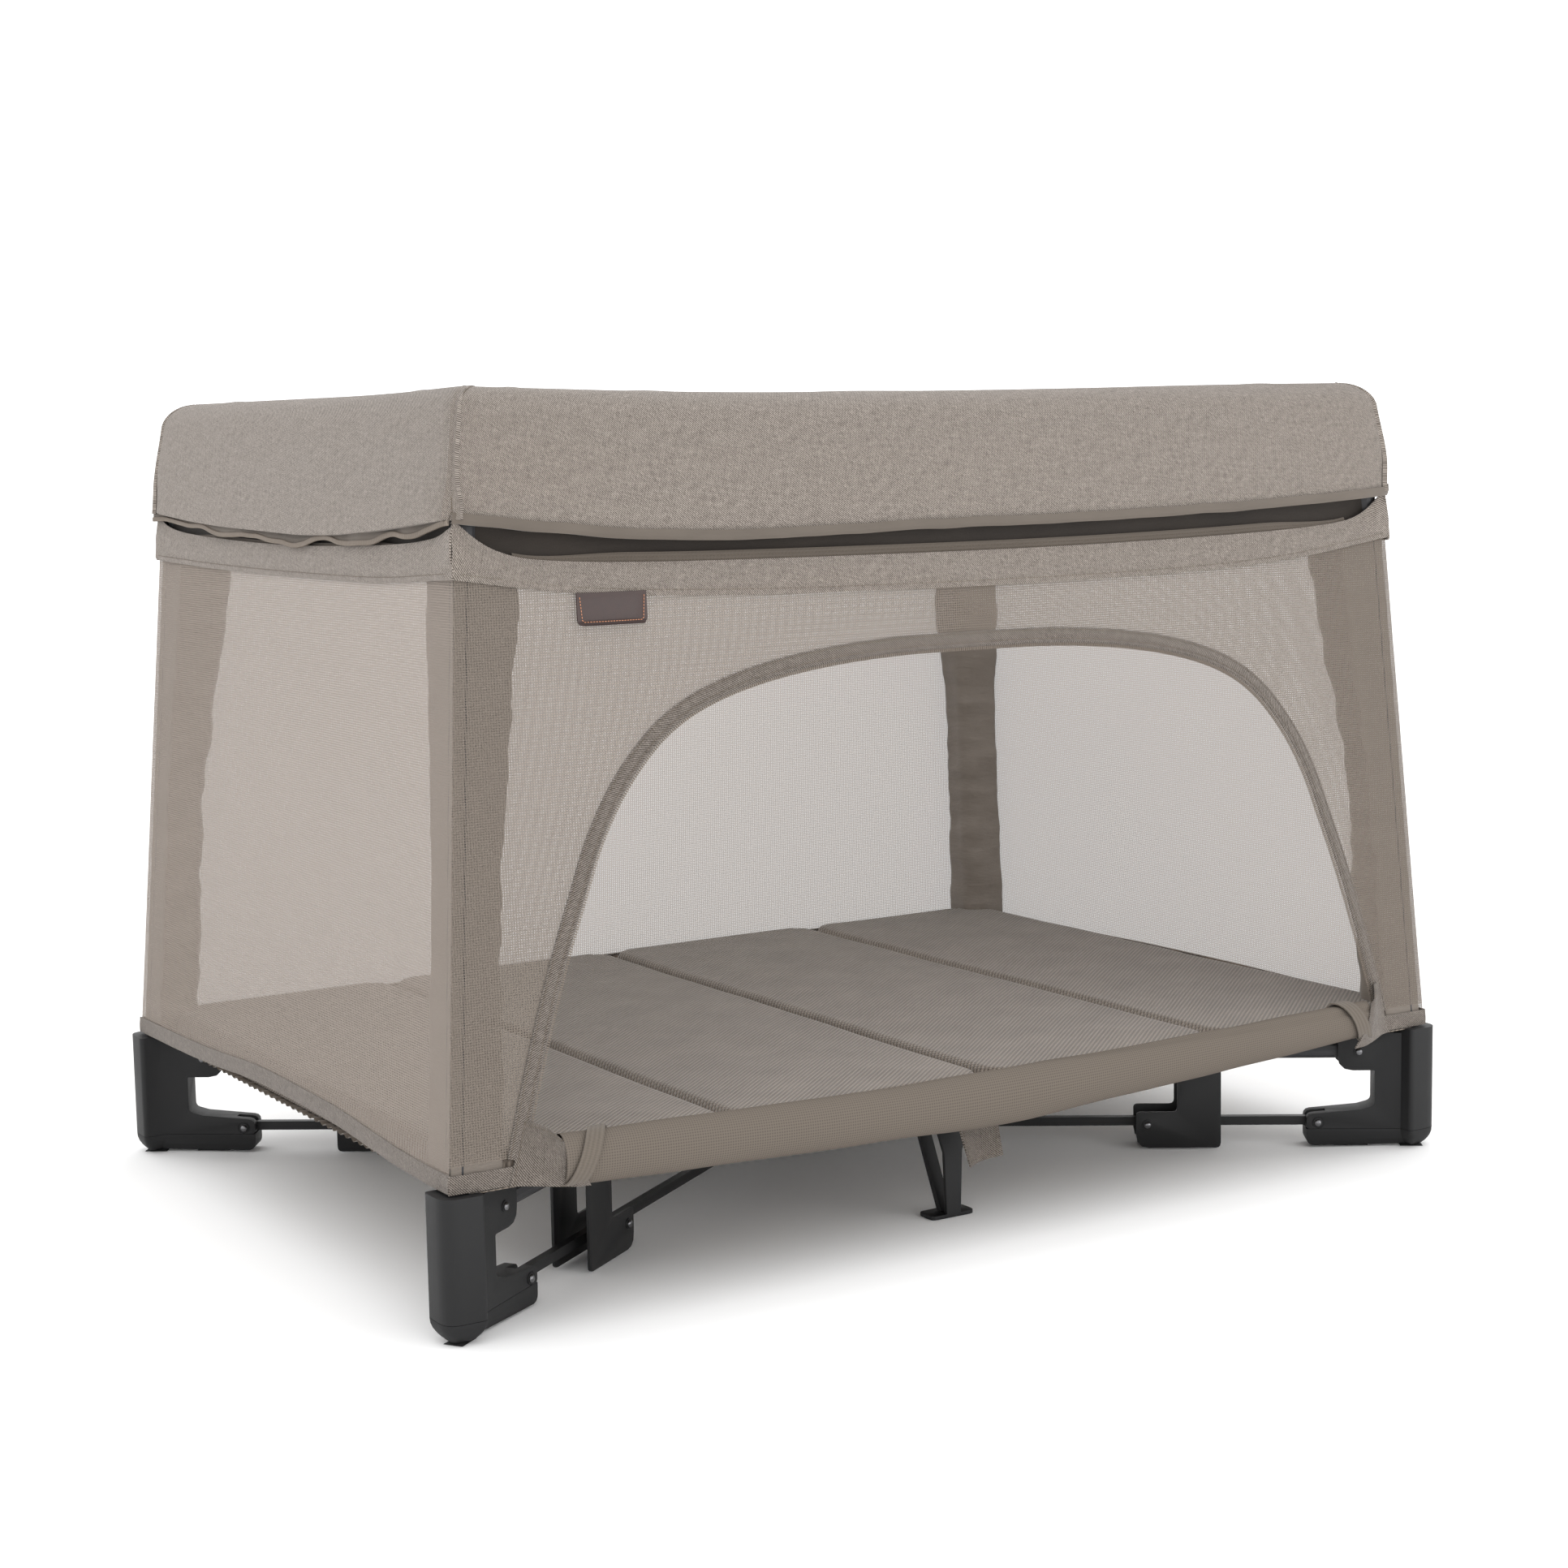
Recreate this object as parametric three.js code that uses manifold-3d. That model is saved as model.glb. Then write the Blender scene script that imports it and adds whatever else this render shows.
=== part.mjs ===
// Travel playpen: a folding steel frame with padded top rails, mesh walls,
// an arched side door rolled down, and a folding floor mattress.
// Millimetres, +Z up, the long side along X, the door on the -Y side.
// Origin: on the floor, at the middle of the footprint.
import * as THREE from "three";
import { mergeVertices } from "three/addons/utils/BufferGeometryUtils.js";
import Module from "manifold-3d";

const wasm = await Module();
wasm.setup();

// ---------- overall ----------
const LENGTH = 1100; // outside of the feet, along X
const WIDTH = 776; // outside of the feet, along Y
const HEIGHT = 768; // top of the padded rails
const GAP = 0.35; // between pieces that touch
const PLAY = 0.35; // round a pin in its hole

// ---------- corner feet ----------
const FOOT_OUT = 17.5; // corner axis to the foot's outer faces
const FOOT_IN = 20; // corner axis to the foot's inner faces
const FOOT_ROUND = 16; // outer corner radius
const FOOT_TOP = 123;
const SOLE_TOP = 19;
const SOLE_LIFT = 2.2; // underside of the sole over the glides
const CHEEK = 14; // half width of the ear and the arm
const WEB_REACH = 40.8; // inner edge of the web, in from the corner axis
const EAR_REACH = 78;
const EAR_BOTTOM = 79.5;
const EAR_TOP = 118;
const ARM_REACH = 109;
const ARM_TOP = 34;

// ---------- linkage ----------
const EAR_PIN_IN = 57; // upper pin, in from the corner axis on the diagonal
const ARM_PIN_IN = 97.5; // lower pin
const EAR_PIN_Z = 99;
const ARM_PIN_Z = 25.5;
const BRACKET_AT = 172.4; // ear pin to bracket pin, along the upper tube
const TUBE_R = 9.5; // upper tube
const TUBE_WALL = 1.5;
const TUBE_END = 10.5; // past the pin
const BAR_H = 9; // lower bar
const BAR_T = 8;
const PIN_R = 3;
const RIVET_R = 5.2;
const RIVET_PROUD = 1.3;

// ---------- middle brackets ----------
const PLATE_OUT = 19; // half width over the two plates
const PLATE_T = 3;
const PLATE_BACK = 33.6; // outer edge, out from the bracket's upper pin
const PLATE_FRONT = 10.4; // inner edge of the upright part
const TOE_FRONT = 11.4; // inner edge of the toe, in from the lower pin
const TOE_TOP = 38.5;
const BRACKET_TOP = 118;
const BRACKET_BOTTOM = 1.5;

// ---------- hub ----------
const HUB_CORE_R = 18;
const HUB_TOP = 118;
const HUB_LUG_T = 4;

// ---------- middle legs ----------
const LEG_Y = 314; // front plate of the leg
const LEG_PIN_Y = 304.6;
const LEG_DEPTH = 65;
const LEG_PIN_Z = 105;
const STRUT_PIN_Y = 24; // where the leg's strut meets the hub
const STRUT_T = 6;
const STRUT_H = 9;

// ---------- corner posts and top rails ----------
const HEM_Z = 124.5; // lower edge of the walls
const HEM_IN = 10.6; // the hem lies this far inside the feet
const LEAN_X = 44.5; // inward lean of the walls, hem to top
const LEAN_Y = 35;
const WALL_T = 2;
const POST_R = 11;
const POST_WALL = 1.5;
const POST_BOTTOM = 60;
const RAIL_Z = HEIGHT - 27;
const RAIL_R = 10;
const RAIL_WALL = 1.4;
const LONG_PIN_IN = 30; // corner post to the long rail's pin
const SHORT_PIN_IN = 22;
const SHORT_LATCH = 19.07; // middle of a short rail to its latch pins
const TONGUE_T = 8; // flat end of a rail
const TONGUE_R = 7.5;
const LUG_T = 4;
const LATCH_TOP = RAIL_Z + 11;
const LATCH_BOTTOM = RAIL_Z - 12;
const LATCH_HALF_W = 10.5;
const BUTTON_L = 17;
const BUTTON_W = 11;
const BUTTON_BOTTOM = RAIL_Z - 17.5;
const BUTTON_TRAVEL = 4;

// ---------- soft goods ----------
const COVER_OUT = 7.7; // the padding stands this far outside the walls
const COVER_T = 6;
const COVER_BOTTOM = HEIGHT - 118;
const COVER_IN = 20; // inner face, in from the rail's centre line
const COVER_IN_BOTTOM = HEIGHT - 86;
const COVER_ROUND = 26;
const COVER_INNER_ROUND = 4;
const WALL_TOP = RAIL_Z - 11;
const DOOR_SILL = 146;
// Half width of the door at each height, up its side to the crown.
const DOOR = [
  [486, DOOR_SILL],
  [479, 173],
  [460, 237],
  [437, 306],
  [416, 358],
  [400, 400],
  [371, 448],
  [329, 492],
  [276, 519],
  [201, 537],
  [105, 547],
];
const ROLL_Y = WIDTH / 2 + 3;
const ROLL_H = 46;
const ROLL_T = 22;
const ROLL_END = 437;
const ROLL_Z_END = 141;
const ROLL_Z_MID = 129;
const MATTRESS_X = LENGTH / 2 - 28; // half length
const MATTRESS_Y = WIDTH / 2 - 26; // half width
const MATTRESS_TOP = 151;
const MATTRESS_T = 28;
const MATTRESS_ROUND = 45; // its outer corners pass beside the posts
const FOLD_X = MATTRESS_X * 0.517; // seams between its panels
const CLOTH_Z = 119.4;
const CLOTH_T = 3;
const LABEL_X = -366;
const LABEL_W = 69;
const LABEL_TOP = HEIGHT - 171;
const LABEL_H = 27;

// ---------- derived ----------
const PX = LENGTH / 2 - FOOT_OUT;
const PY = WIDTH / 2 - FOOT_OUT;
const DIAG = Math.hypot(PX, PY);
const ANGLE = Math.atan2(PY, PX);
const LINK_DX = ARM_PIN_IN - EAR_PIN_IN;
const BRACKET_R = DIAG - EAR_PIN_IN - BRACKET_AT;
const slopeX = LEAN_X / (HEIGHT - HEM_Z);
const slopeY = LEAN_Y / (HEIGHT - HEM_Z);
const wallX = (z) => LENGTH / 2 - HEM_IN - slopeX * (z - HEM_Z);
const wallY = (z) => WIDTH / 2 - HEM_IN - slopeY * (z - HEM_Z);
const POST_INSET = WALL_T + 0.4 + POST_R;
const postX = (z) => wallX(z) - POST_INSET;
const postY = (z) => wallY(z) - POST_INSET;
const TX = postX(RAIL_Z);
const TY = postY(RAIL_Z);
// hub centre to the upper pins, so that the linkage and the short rails fold together
const HUB_PIN_R = (PY - TY + SHORT_PIN_IN + SHORT_LATCH) / Math.sin(ANGLE) - EAR_PIN_IN;
const LINK = DIAG - EAR_PIN_IN - HUB_PIN_R; // pin to pin
const HUB_LOW_R = HUB_PIN_R - LINK_DX;
const LATCH_X = TX - LONG_PIN_IN - LINK * Math.cos(ANGLE); // long latch pins
const LATCH_Y = SHORT_LATCH;

// ---------- solids ----------
const toSolid = (geometry) => {
  const g = geometry.index ? geometry.toNonIndexed() : geometry.clone();
  g.deleteAttribute("normal");
  g.deleteAttribute("uv");
  const m = mergeVertices(g, 1e-4);
  return new wasm.Manifold(
    new wasm.Mesh({
      numProp: 3,
      vertProperties: m.attributes.position.array,
      triVerts: new Uint32Array(m.index.array),
    }),
  );
};
const toGeometry = (s) => {
  const m = s.getMesh();
  const g = new THREE.BufferGeometry();
  g.setAttribute("position", new THREE.BufferAttribute(m.vertProperties, 3));
  g.setIndex(new THREE.BufferAttribute(m.triVerts, 1));
  g.computeVertexNormals();
  return g;
};
const join = (...list) => {
  const [first, ...rest] = list.flat().map(toSolid);
  return toGeometry(rest.reduce((a, b) => a.add(b), first));
};
const cut = (geometry, ...tools) =>
  toGeometry(
    tools.flat().reduce((a, t) => a.subtract(toSolid(t)), toSolid(geometry)),
  );

// Outline through [x, y, radius] points, each corner rounded.
function outline(points, scale = 1) {
  const shape = new THREE.Shape();
  const n = points.length;
  points.forEach(([x, y, r = 0], i) => {
    const p = new THREE.Vector2(x * scale, y);
    const [ax, ay] = points[(i + n - 1) % n];
    const [bx, by] = points[(i + 1) % n];
    const a = new THREE.Vector2(ax * scale, ay).sub(p);
    const b = new THREE.Vector2(bx * scale, by).sub(p);
    const half = a.angleTo(b) / 2;
    const t = Math.min(r / Math.tan(half), a.length() / 2, b.length() / 2);
    const from = p.clone().addScaledVector(a.normalize(), t);
    const to = p.clone().addScaledVector(b.normalize(), t);
    if (i === 0) shape.moveTo(from.x, from.y);
    else shape.lineTo(from.x, from.y);
    if (r) shape.quadraticCurveTo(p.x, p.y, to.x, to.y);
  });
  shape.closePath();
  return shape;
}
const extrude = (shape, depth, curveSegments = 3) =>
  new THREE.ExtrudeGeometry(shape, { depth, bevelEnabled: false, curveSegments });
// Flat plate with its outline in X and Z, between two values of Y.
const plate = (points, y0, y1, seg) =>
  extrude(points instanceof THREE.Shape ? points : outline(points), y1 - y0, seg)
    .rotateX(Math.PI / 2)
    .translate(0, y1, 0);
// Slab with its outline in X and Y, between two heights.
const slab = (points, z0, z1, seg) =>
  extrude(points instanceof THREE.Shape ? points : outline(points), z1 - z0, seg).translate(0, 0, z0);
const box = (x0, x1, y0, y1, z0, z1) =>
  new THREE.BoxGeometry(x1 - x0, y1 - y0, z1 - z0).translate(
    (x0 + x1) / 2,
    (y0 + y1) / 2,
    (z0 + z1) / 2,
  );
const rodY = (r, x, y0, y1, z, seg = 12) =>
  new THREE.CylinderGeometry(r, r, y1 - y0, seg).translate(x, (y0 + y1) / 2, z);
const rodX = (r, x0, x1, y, z, seg = 12) =>
  new THREE.CylinderGeometry(r, r, x1 - x0, seg)
    .rotateZ(Math.PI / 2)
    .translate((x0 + x1) / 2, y, z);
const rodZ = (r, x, y, z0, z1, seg = 16) =>
  new THREE.CylinderGeometry(r, r, z1 - z0, seg)
    .rotateX(Math.PI / 2)
    .translate(x, y, (z0 + z1) / 2);
const disc = (x, z, r) => [
  [x - r, z - r, r],
  [x + r, z - r, r],
  [x + r, z + r, r],
  [x - r, z + r, r],
];
// Shared shape of every pinned joint: a pin with a round head at each end.
const pin = (x, z, reach) => [
  rodY(PIN_R, x, -reach, reach, z, 8),
  rodY(RIVET_R, x, reach - 0.5, reach + RIVET_PROUD, z, 10),
  rodY(RIVET_R, x, -reach - RIVET_PROUD, -reach + 0.5, z, 10),
];
const pinHole = (x, z, half) => rodY(PIN_R + PLAY, x, -half - 1, half + 1, z, 8);

// ---------- looks ----------
const look = (color, roughness, metalness = 0) =>
  new THREE.MeshStandardMaterial({ color, roughness, metalness });
const charcoal = look(0x3b3b3c, 0.6);
const soleGrey = look(0x323233, 0.75);
const black = look(0x1f1f20, 0.45, 0.3);
const steel = look(0x2b2b2c, 0.4, 0.6);
const latchGrey = look(0x4a4a4b, 0.55);
const buttonRed = look(0x6a6560, 0.5);
const mesh = look(0xa89e94, 0.9);
const twill = look(0x8e857b, 0.9);
const knit = look(0x857b70, 0.95);
const leather = look(0x35241d, 0.55);
const lining = look(0x6b6259, 0.8);

const playpen = new THREE.Group();
const add = (group, name, geometry, material) => {
  const m = new THREE.Mesh(geometry, material);
  m.name = name;
  group.add(m);
  return m;
};

// ---------- the four diagonals ----------
// Inside a diagonal's group, +X runs outward along the diagonal from the hub.
const corners = [
  ["fl", -1, -1],
  ["fr", 1, -1],
  ["bl", -1, 1],
  ["br", 1, 1],
];
const inward = (s) => DIAG - s;

const footBlock = (sx, sy, z0, z1) =>
  slab(
    [
      [sx * (PX + FOOT_OUT), sy * (PY + FOOT_OUT), FOOT_ROUND],
      [sx * (PX - FOOT_IN), sy * (PY + FOOT_OUT), 5],
      [sx * (PX - FOOT_IN), sy * (PY - FOOT_IN), 3],
      [sx * (PX + FOOT_OUT), sy * (PY - FOOT_IN), 5],
    ],
    z0,
    z1,
    5,
  );
// The post's own axis, leaning in with the walls.
const postAxis = (sx, sy, r, z0, z1, seg = 14) => {
  const a = new THREE.Vector3(sx * postX(z0), sy * postY(z0), z0);
  const b = new THREE.Vector3(sx * postX(z1), sy * postY(z1), z1);
  const d = b.clone().sub(a);
  const g = new THREE.CylinderGeometry(r, r, d.length(), seg);
  g.applyQuaternion(
    new THREE.Quaternion().setFromUnitVectors(new THREE.Vector3(0, 1, 0), d.normalize()),
  );
  return g.translate((a.x + b.x) / 2, (a.y + b.y) / 2, (a.z + b.z) / 2);
};

const footWeb = [
  [inward(0), SOLE_TOP + GAP],
  [inward(ARM_REACH), SOLE_TOP + GAP, 3],
  [inward(ARM_REACH), ARM_TOP, 7],
  [inward(WEB_REACH + 14), ARM_TOP + 5, 6],
  [inward(WEB_REACH), ARM_TOP + 9, 6],
  [inward(WEB_REACH), EAR_BOTTOM, 2],
  [inward(EAR_REACH), EAR_BOTTOM, 15],
  [inward(EAR_REACH), EAR_TOP],
  [inward(0), EAR_TOP],
];
const soleWeb = [
  [inward(0), SOLE_LIFT],
  [inward(ARM_REACH), SOLE_LIFT, 16],
  [inward(ARM_REACH), SOLE_TOP],
  [inward(0), SOLE_TOP],
];
const earSlot = TUBE_R + 0.7;
const armSlot = BAR_T / 2 + 0.4;

const upperTube = cut(
  join(
    cut(
      rodX(TUBE_R, HUB_PIN_R - TUBE_END, DIAG - EAR_PIN_IN + TUBE_END, 0, EAR_PIN_Z, 12),
      rodX(TUBE_R - TUBE_WALL, 0, DIAG, 0, EAR_PIN_Z, 8),
    ),
  ),
  pinHole(HUB_PIN_R, EAR_PIN_Z, TUBE_R),
  pinHole(BRACKET_R, EAR_PIN_Z, TUBE_R),
  pinHole(DIAG - EAR_PIN_IN, EAR_PIN_Z, TUBE_R),
);
const barEnd = BAR_H / 2;
const lowerBar = cut(
  plate(
    [
      [HUB_LOW_R - barEnd, ARM_PIN_Z - barEnd, barEnd],
      [inward(ARM_PIN_IN) + barEnd, ARM_PIN_Z - barEnd, barEnd],
      [inward(ARM_PIN_IN) + barEnd, ARM_PIN_Z + barEnd, barEnd],
      [HUB_LOW_R - barEnd, ARM_PIN_Z + barEnd, barEnd],
    ],
    -BAR_T / 2,
    BAR_T / 2,
  ),
  [HUB_LOW_R, BRACKET_R - LINK_DX, inward(ARM_PIN_IN)].map((x) =>
    pinHole(x, ARM_PIN_Z, BAR_T / 2),
  ),
);
const bracketSide = [
  [BRACKET_R + PLATE_BACK, BRACKET_BOTTOM, 5],
  [BRACKET_R + PLATE_BACK, BRACKET_TOP],
  [BRACKET_R - PLATE_FRONT, BRACKET_TOP],
  [BRACKET_R - PLATE_FRONT, TOE_TOP, 5],
  [BRACKET_R - LINK_DX - TOE_FRONT, TOE_TOP, 4],
  [BRACKET_R - LINK_DX - TOE_FRONT, BRACKET_BOTTOM, 13],
];
const bracket = join(
  plate(bracketSide, PLATE_OUT - PLATE_T, PLATE_OUT),
  plate(bracketSide, -PLATE_OUT, PLATE_T - PLATE_OUT),
  box(
    BRACKET_R + TUBE_R + 3,
    BRACKET_R + PLATE_BACK,
    -PLATE_OUT,
    PLATE_OUT,
    EAR_PIN_Z + TUBE_R + 1,
    BRACKET_TOP,
  ),
  pin(BRACKET_R, EAR_PIN_Z, PLATE_OUT),
  pin(BRACKET_R - LINK_DX, ARM_PIN_Z, PLATE_OUT),
);

const halfRail = (from, to) =>
  cut(
    join(
      cut(
        rodX(RAIL_R, from + 12, to - 12, 0, RAIL_Z, 12),
        rodX(RAIL_R - RAIL_WALL, from + 20, to - 20, 0, RAIL_Z, 8),
        rodZ(3, (from + to) / 2, 0, RAIL_Z - 20, RAIL_Z, 6),
      ),
      plate(disc(from, RAIL_Z, TONGUE_R), -TONGUE_T / 2, TONGUE_T / 2, 3),
      plate(disc(to, RAIL_Z, TONGUE_R), -TONGUE_T / 2, TONGUE_T / 2, 3),
      box(from, from + 14, -TONGUE_T / 2, TONGUE_T / 2, RAIL_Z - TONGUE_R, RAIL_Z + TONGUE_R),
      box(to - 14, to, -TONGUE_T / 2, TONGUE_T / 2, RAIL_Z - TONGUE_R, RAIL_Z + TONGUE_R),
    ),
    pinHole(from, RAIL_Z, TONGUE_T / 2),
    pinHole(to, RAIL_Z, TONGUE_T / 2),
  );
const longRail = halfRail(LATCH_X, TX - LONG_PIN_IN);
const shortRail = halfRail(LATCH_Y, TY - SHORT_PIN_IN);
const lugReach = TONGUE_T / 2 + 0.4 + LUG_T;
// Two lugs and their pin, standing on a block at x0 and rounded at the pin.
const lugs = (x0, xPin) =>
  [-1, 1].map((s) => {
    const a = s > 0 ? lugReach - LUG_T : -lugReach;
    return join(
      plate(disc(xPin, RAIL_Z, TONGUE_R), a, a + LUG_T, 3),
      box(
        Math.min(x0, xPin),
        Math.max(x0, xPin),
        a,
        a + LUG_T,
        RAIL_Z - TONGUE_R,
        RAIL_Z + TONGUE_R,
      ),
    );
  });
const lugPin = (x) => rodY(PIN_R, x, -lugReach + 1, lugReach - 1, RAIL_Z, 8);

for (const [c, sx, sy] of corners) {
  const diagonal = new THREE.Group();
  const turn = Math.atan2(sy * PY, sx * PX);
  diagonal.rotation.z = turn;
  playpen.add(diagonal);
  const atDiagonal = (g) => g.clone().rotateZ(turn);

  add(
    playpen,
    `corner_foot_${c}`,
    join(
      cut(
        join(footBlock(sx, sy, SOLE_TOP + GAP, FOOT_TOP), atDiagonal(plate(footWeb, -CHEEK, CHEEK))),
        postAxis(sx, sy, POST_R + PLAY, POST_BOTTOM - 1, FOOT_TOP + 5),
        atDiagonal(box(inward(EAR_REACH + 2), inward(WEB_REACH), -earSlot, earSlot, 50, FOOT_TOP + 2)),
        atDiagonal(
          box(inward(ARM_REACH + 2), inward(ARM_PIN_IN - 9), -armSlot, armSlot, 10, ARM_TOP + 20),
        ),
        atDiagonal(
          rodY(RIVET_R + 1, inward(ARM_PIN_IN), CHEEK - 0.8, CHEEK + 2, ARM_PIN_Z, 10),
        ),
        atDiagonal(
          rodY(RIVET_R + 1, inward(ARM_PIN_IN), -CHEEK - 2, -CHEEK + 0.8, ARM_PIN_Z, 10),
        ),
      ),
      pin(inward(EAR_PIN_IN), EAR_PIN_Z, CHEEK).map(atDiagonal),
      pin(inward(ARM_PIN_IN), ARM_PIN_Z, CHEEK - 0.8).map(atDiagonal),
    ),
    charcoal,
  );
  add(
    playpen,
    `foot_sole_${c}`,
    join(
      footBlock(sx, sy, SOLE_LIFT, SOLE_TOP),
      atDiagonal(plate(soleWeb, -CHEEK, CHEEK, 6)),
      atDiagonal(box(inward(14), inward(-9), -9, 9, 0, SOLE_LIFT + 1)),
      atDiagonal(box(inward(80), inward(46), -6, 6, 0, SOLE_LIFT + 1)),
    ),
    soleGrey,
  );
  add(
    playpen,
    `corner_post_${c}`,
    cut(
      postAxis(sx, sy, POST_R, POST_BOTTOM, LATCH_BOTTOM - 7),
      postAxis(sx, sy, POST_R - POST_WALL, POST_BOTTOM - 2, LATCH_BOTTOM),
    ),
    steel,
  );
  const half = POST_R;
  add(
    playpen,
    `corner_joint_${c}`,
    join(
      slab(
        [
          [sx * (TX + half), sy * (TY + half), 6],
          [sx * (TX - half), sy * (TY + half), 1],
          [sx * (TX - half), sy * (TY - half), 3],
          [sx * (TX + half), sy * (TY - half), 1],
        ],
        LATCH_BOTTOM - 6 + GAP,
        LATCH_TOP,
      ),
      postAxis(sx, sy, POST_R - POST_WALL - GAP, LATCH_BOTTOM - 30, LATCH_BOTTOM),
      [...lugs(TX - half + 1, TX - LONG_PIN_IN), lugPin(TX - LONG_PIN_IN)].map((g) =>
        g.rotateZ(sx > 0 ? 0 : Math.PI).translate(0, sy * TY, 0),
      ),
      [...lugs(TY - half + 1, TY - SHORT_PIN_IN), lugPin(TY - SHORT_PIN_IN)].map((g) =>
        g.rotateZ((sy * Math.PI) / 2).translate(sx * TX, 0, 0),
      ),
    ),
    latchGrey,
  );
  add(diagonal, `upper_tube_${c}`, upperTube, steel);
  add(diagonal, `lower_bar_${c}`, lowerBar, black);
  add(diagonal, `mid_bracket_${c}`, bracket, black);

  const long = add(playpen, `long_rail_${c}`, longRail, steel);
  long.rotation.z = sx > 0 ? 0 : Math.PI;
  long.position.y = sy * TY;
  const short = add(playpen, `short_rail_${c}`, shortRail, steel);
  short.rotation.z = (sy * Math.PI) / 2;
  short.position.x = sx * TX;
}

// ---------- hub ----------
const hubArm = (turn) => {
  const side = TUBE_R + 0.7;
  const upper = [
    [HUB_CORE_R - 1, 84, 0],
    [HUB_PIN_R + 10, 84, 9],
    [HUB_PIN_R + 10, HUB_TOP - 7, 9],
    [HUB_CORE_R - 1, HUB_TOP - 1, 0],
  ];
  const lower = [
    [8, ARM_PIN_Z - 9, 0],
    [HUB_LOW_R + 8, ARM_PIN_Z - 9, 7],
    [HUB_LOW_R + 8, ARM_PIN_Z + 9, 7],
    [8, ARM_PIN_Z + 9, 0],
  ];
  const gap = BAR_T / 2 + 0.4;
  return join(
    plate(upper, side, side + HUB_LUG_T, 2),
    plate(upper, -side - HUB_LUG_T, -side, 2),
    plate(lower, gap, gap + HUB_LUG_T, 2),
    plate(lower, -gap - HUB_LUG_T, -gap, 2),
    box(10, HUB_PIN_R - 26, -side - 1, side + 1, 84, HUB_TOP - 3),
    rodY(PIN_R, HUB_PIN_R, -side - 2, side + 2, EAR_PIN_Z, 6),
    rodY(PIN_R, HUB_LOW_R, -gap - 2, gap + 2, ARM_PIN_Z, 6),
  ).rotateZ(turn);
};
const strutSide = STRUT_T / 2 + 0.4;
const strutLugs = [1, -1].map((s) =>
  join(
    ...[strutSide, -strutSide - HUB_LUG_T].map((y) =>
      plate(
        [
          [10, LEG_PIN_Z - 8, 0],
          [STRUT_PIN_Y + 8, LEG_PIN_Z - 8, 7],
          [STRUT_PIN_Y + 8, LEG_PIN_Z + 8, 7],
          [10, LEG_PIN_Z + 8, 0],
        ],
        y,
        y + HUB_LUG_T,
      ),
    ),
    rodY(PIN_R, STRUT_PIN_Y, -strutSide - 2, strutSide + 2, LEG_PIN_Z, 8),
  ).rotateZ((s * Math.PI) / 2),
);
add(
  playpen,
  "hub_body",
  join(
    rodZ(HUB_CORE_R, 0, 0, 0, HUB_TOP, 16),
    corners.map(([, sx, sy]) => hubArm(Math.atan2(sy * PY, sx * PX))),
    strutLugs,
  ),
  latchGrey,
);

// ---------- middle legs and their struts ----------

for (const [c, s] of [
  ["front", -1],
  ["back", 1],
]) {
  const strut = add(
    playpen,
    `leg_strut_${c}`,
    cut(
      plate(
        [
          [STRUT_PIN_Y - 4.5, LEG_PIN_Z - STRUT_H / 2, 4],
          [LEG_PIN_Y + 4.5, LEG_PIN_Z - STRUT_H / 2, 4],
          [LEG_PIN_Y + 4.5, LEG_PIN_Z + STRUT_H / 2, 4],
          [STRUT_PIN_Y - 4.5, LEG_PIN_Z + STRUT_H / 2, 4],
        ],
        -STRUT_T / 2,
        STRUT_T / 2,
      ),
      pinHole(STRUT_PIN_Y, LEG_PIN_Z, STRUT_T / 2),
      pinHole(LEG_PIN_Y, LEG_PIN_Z, STRUT_T / 2),
    ),
    black,
  );
  strut.rotation.z = (s * Math.PI) / 2;
  // Front plate that widens upward, a brace behind it and a floor plate.
  const plateShape = extrude(
    outline([
      [-8, 3, 2],
      [8, 3, 2],
      [10, 62, 6],
      [17, 84, 4],
      [17, 98],
      [-17, 98],
      [-17, 84, 4],
      [-10, 62, 6],
    ]),
    4,
  )
    .rotateX(Math.PI / 2)
    .rotateZ(Math.PI / 2)
    .translate(LEG_Y - 4, 0, 0);
  const brace = plate(
    [
      [LEG_Y - 19, 2],
      [LEG_Y - 12, 2],
      [LEG_Y - LEG_DEPTH + 8, LEG_PIN_Z - STRUT_H / 2 - 2],
      [LEG_Y - LEG_DEPTH, LEG_PIN_Z - STRUT_H / 2 - 2],
    ],
    -6,
    6,
  );
  const leg = add(
    playpen,
    `mid_leg_${c}`,
    join(
      plateShape,
      brace,
      slab(
        [
          [LEG_Y - 24, -24, 6],
          [LEG_Y, -24, 6],
          [LEG_Y, 24, 6],
          [LEG_Y - 24, 24, 6],
        ],
        0,
        3.5,
      ),
      box(
        LEG_Y - LEG_DEPTH,
        LEG_Y,
        -14,
        14,
        LEG_PIN_Z - STRUT_H / 2 - 4,
        LEG_PIN_Z - STRUT_H / 2 - 0.7,
      ),
      ...[strutSide, -strutSide - HUB_LUG_T].map((y) =>
        plate(
          [
            [LEG_PIN_Y - 8, LEG_PIN_Z - 7, 0],
            [LEG_PIN_Y + 8, LEG_PIN_Z - 7, 0],
            [LEG_PIN_Y + 8, LEG_PIN_Z + 8, 7],
            [LEG_PIN_Y - 8, LEG_PIN_Z + 8, 7],
          ],
          y,
          y + HUB_LUG_T,
        ),
      ),
      rodY(PIN_R, LEG_PIN_Y, -strutSide - 2, strutSide + 2, LEG_PIN_Z, 8),
    ),
    black,
  );
  leg.rotation.z = (s * Math.PI) / 2;
}

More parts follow.
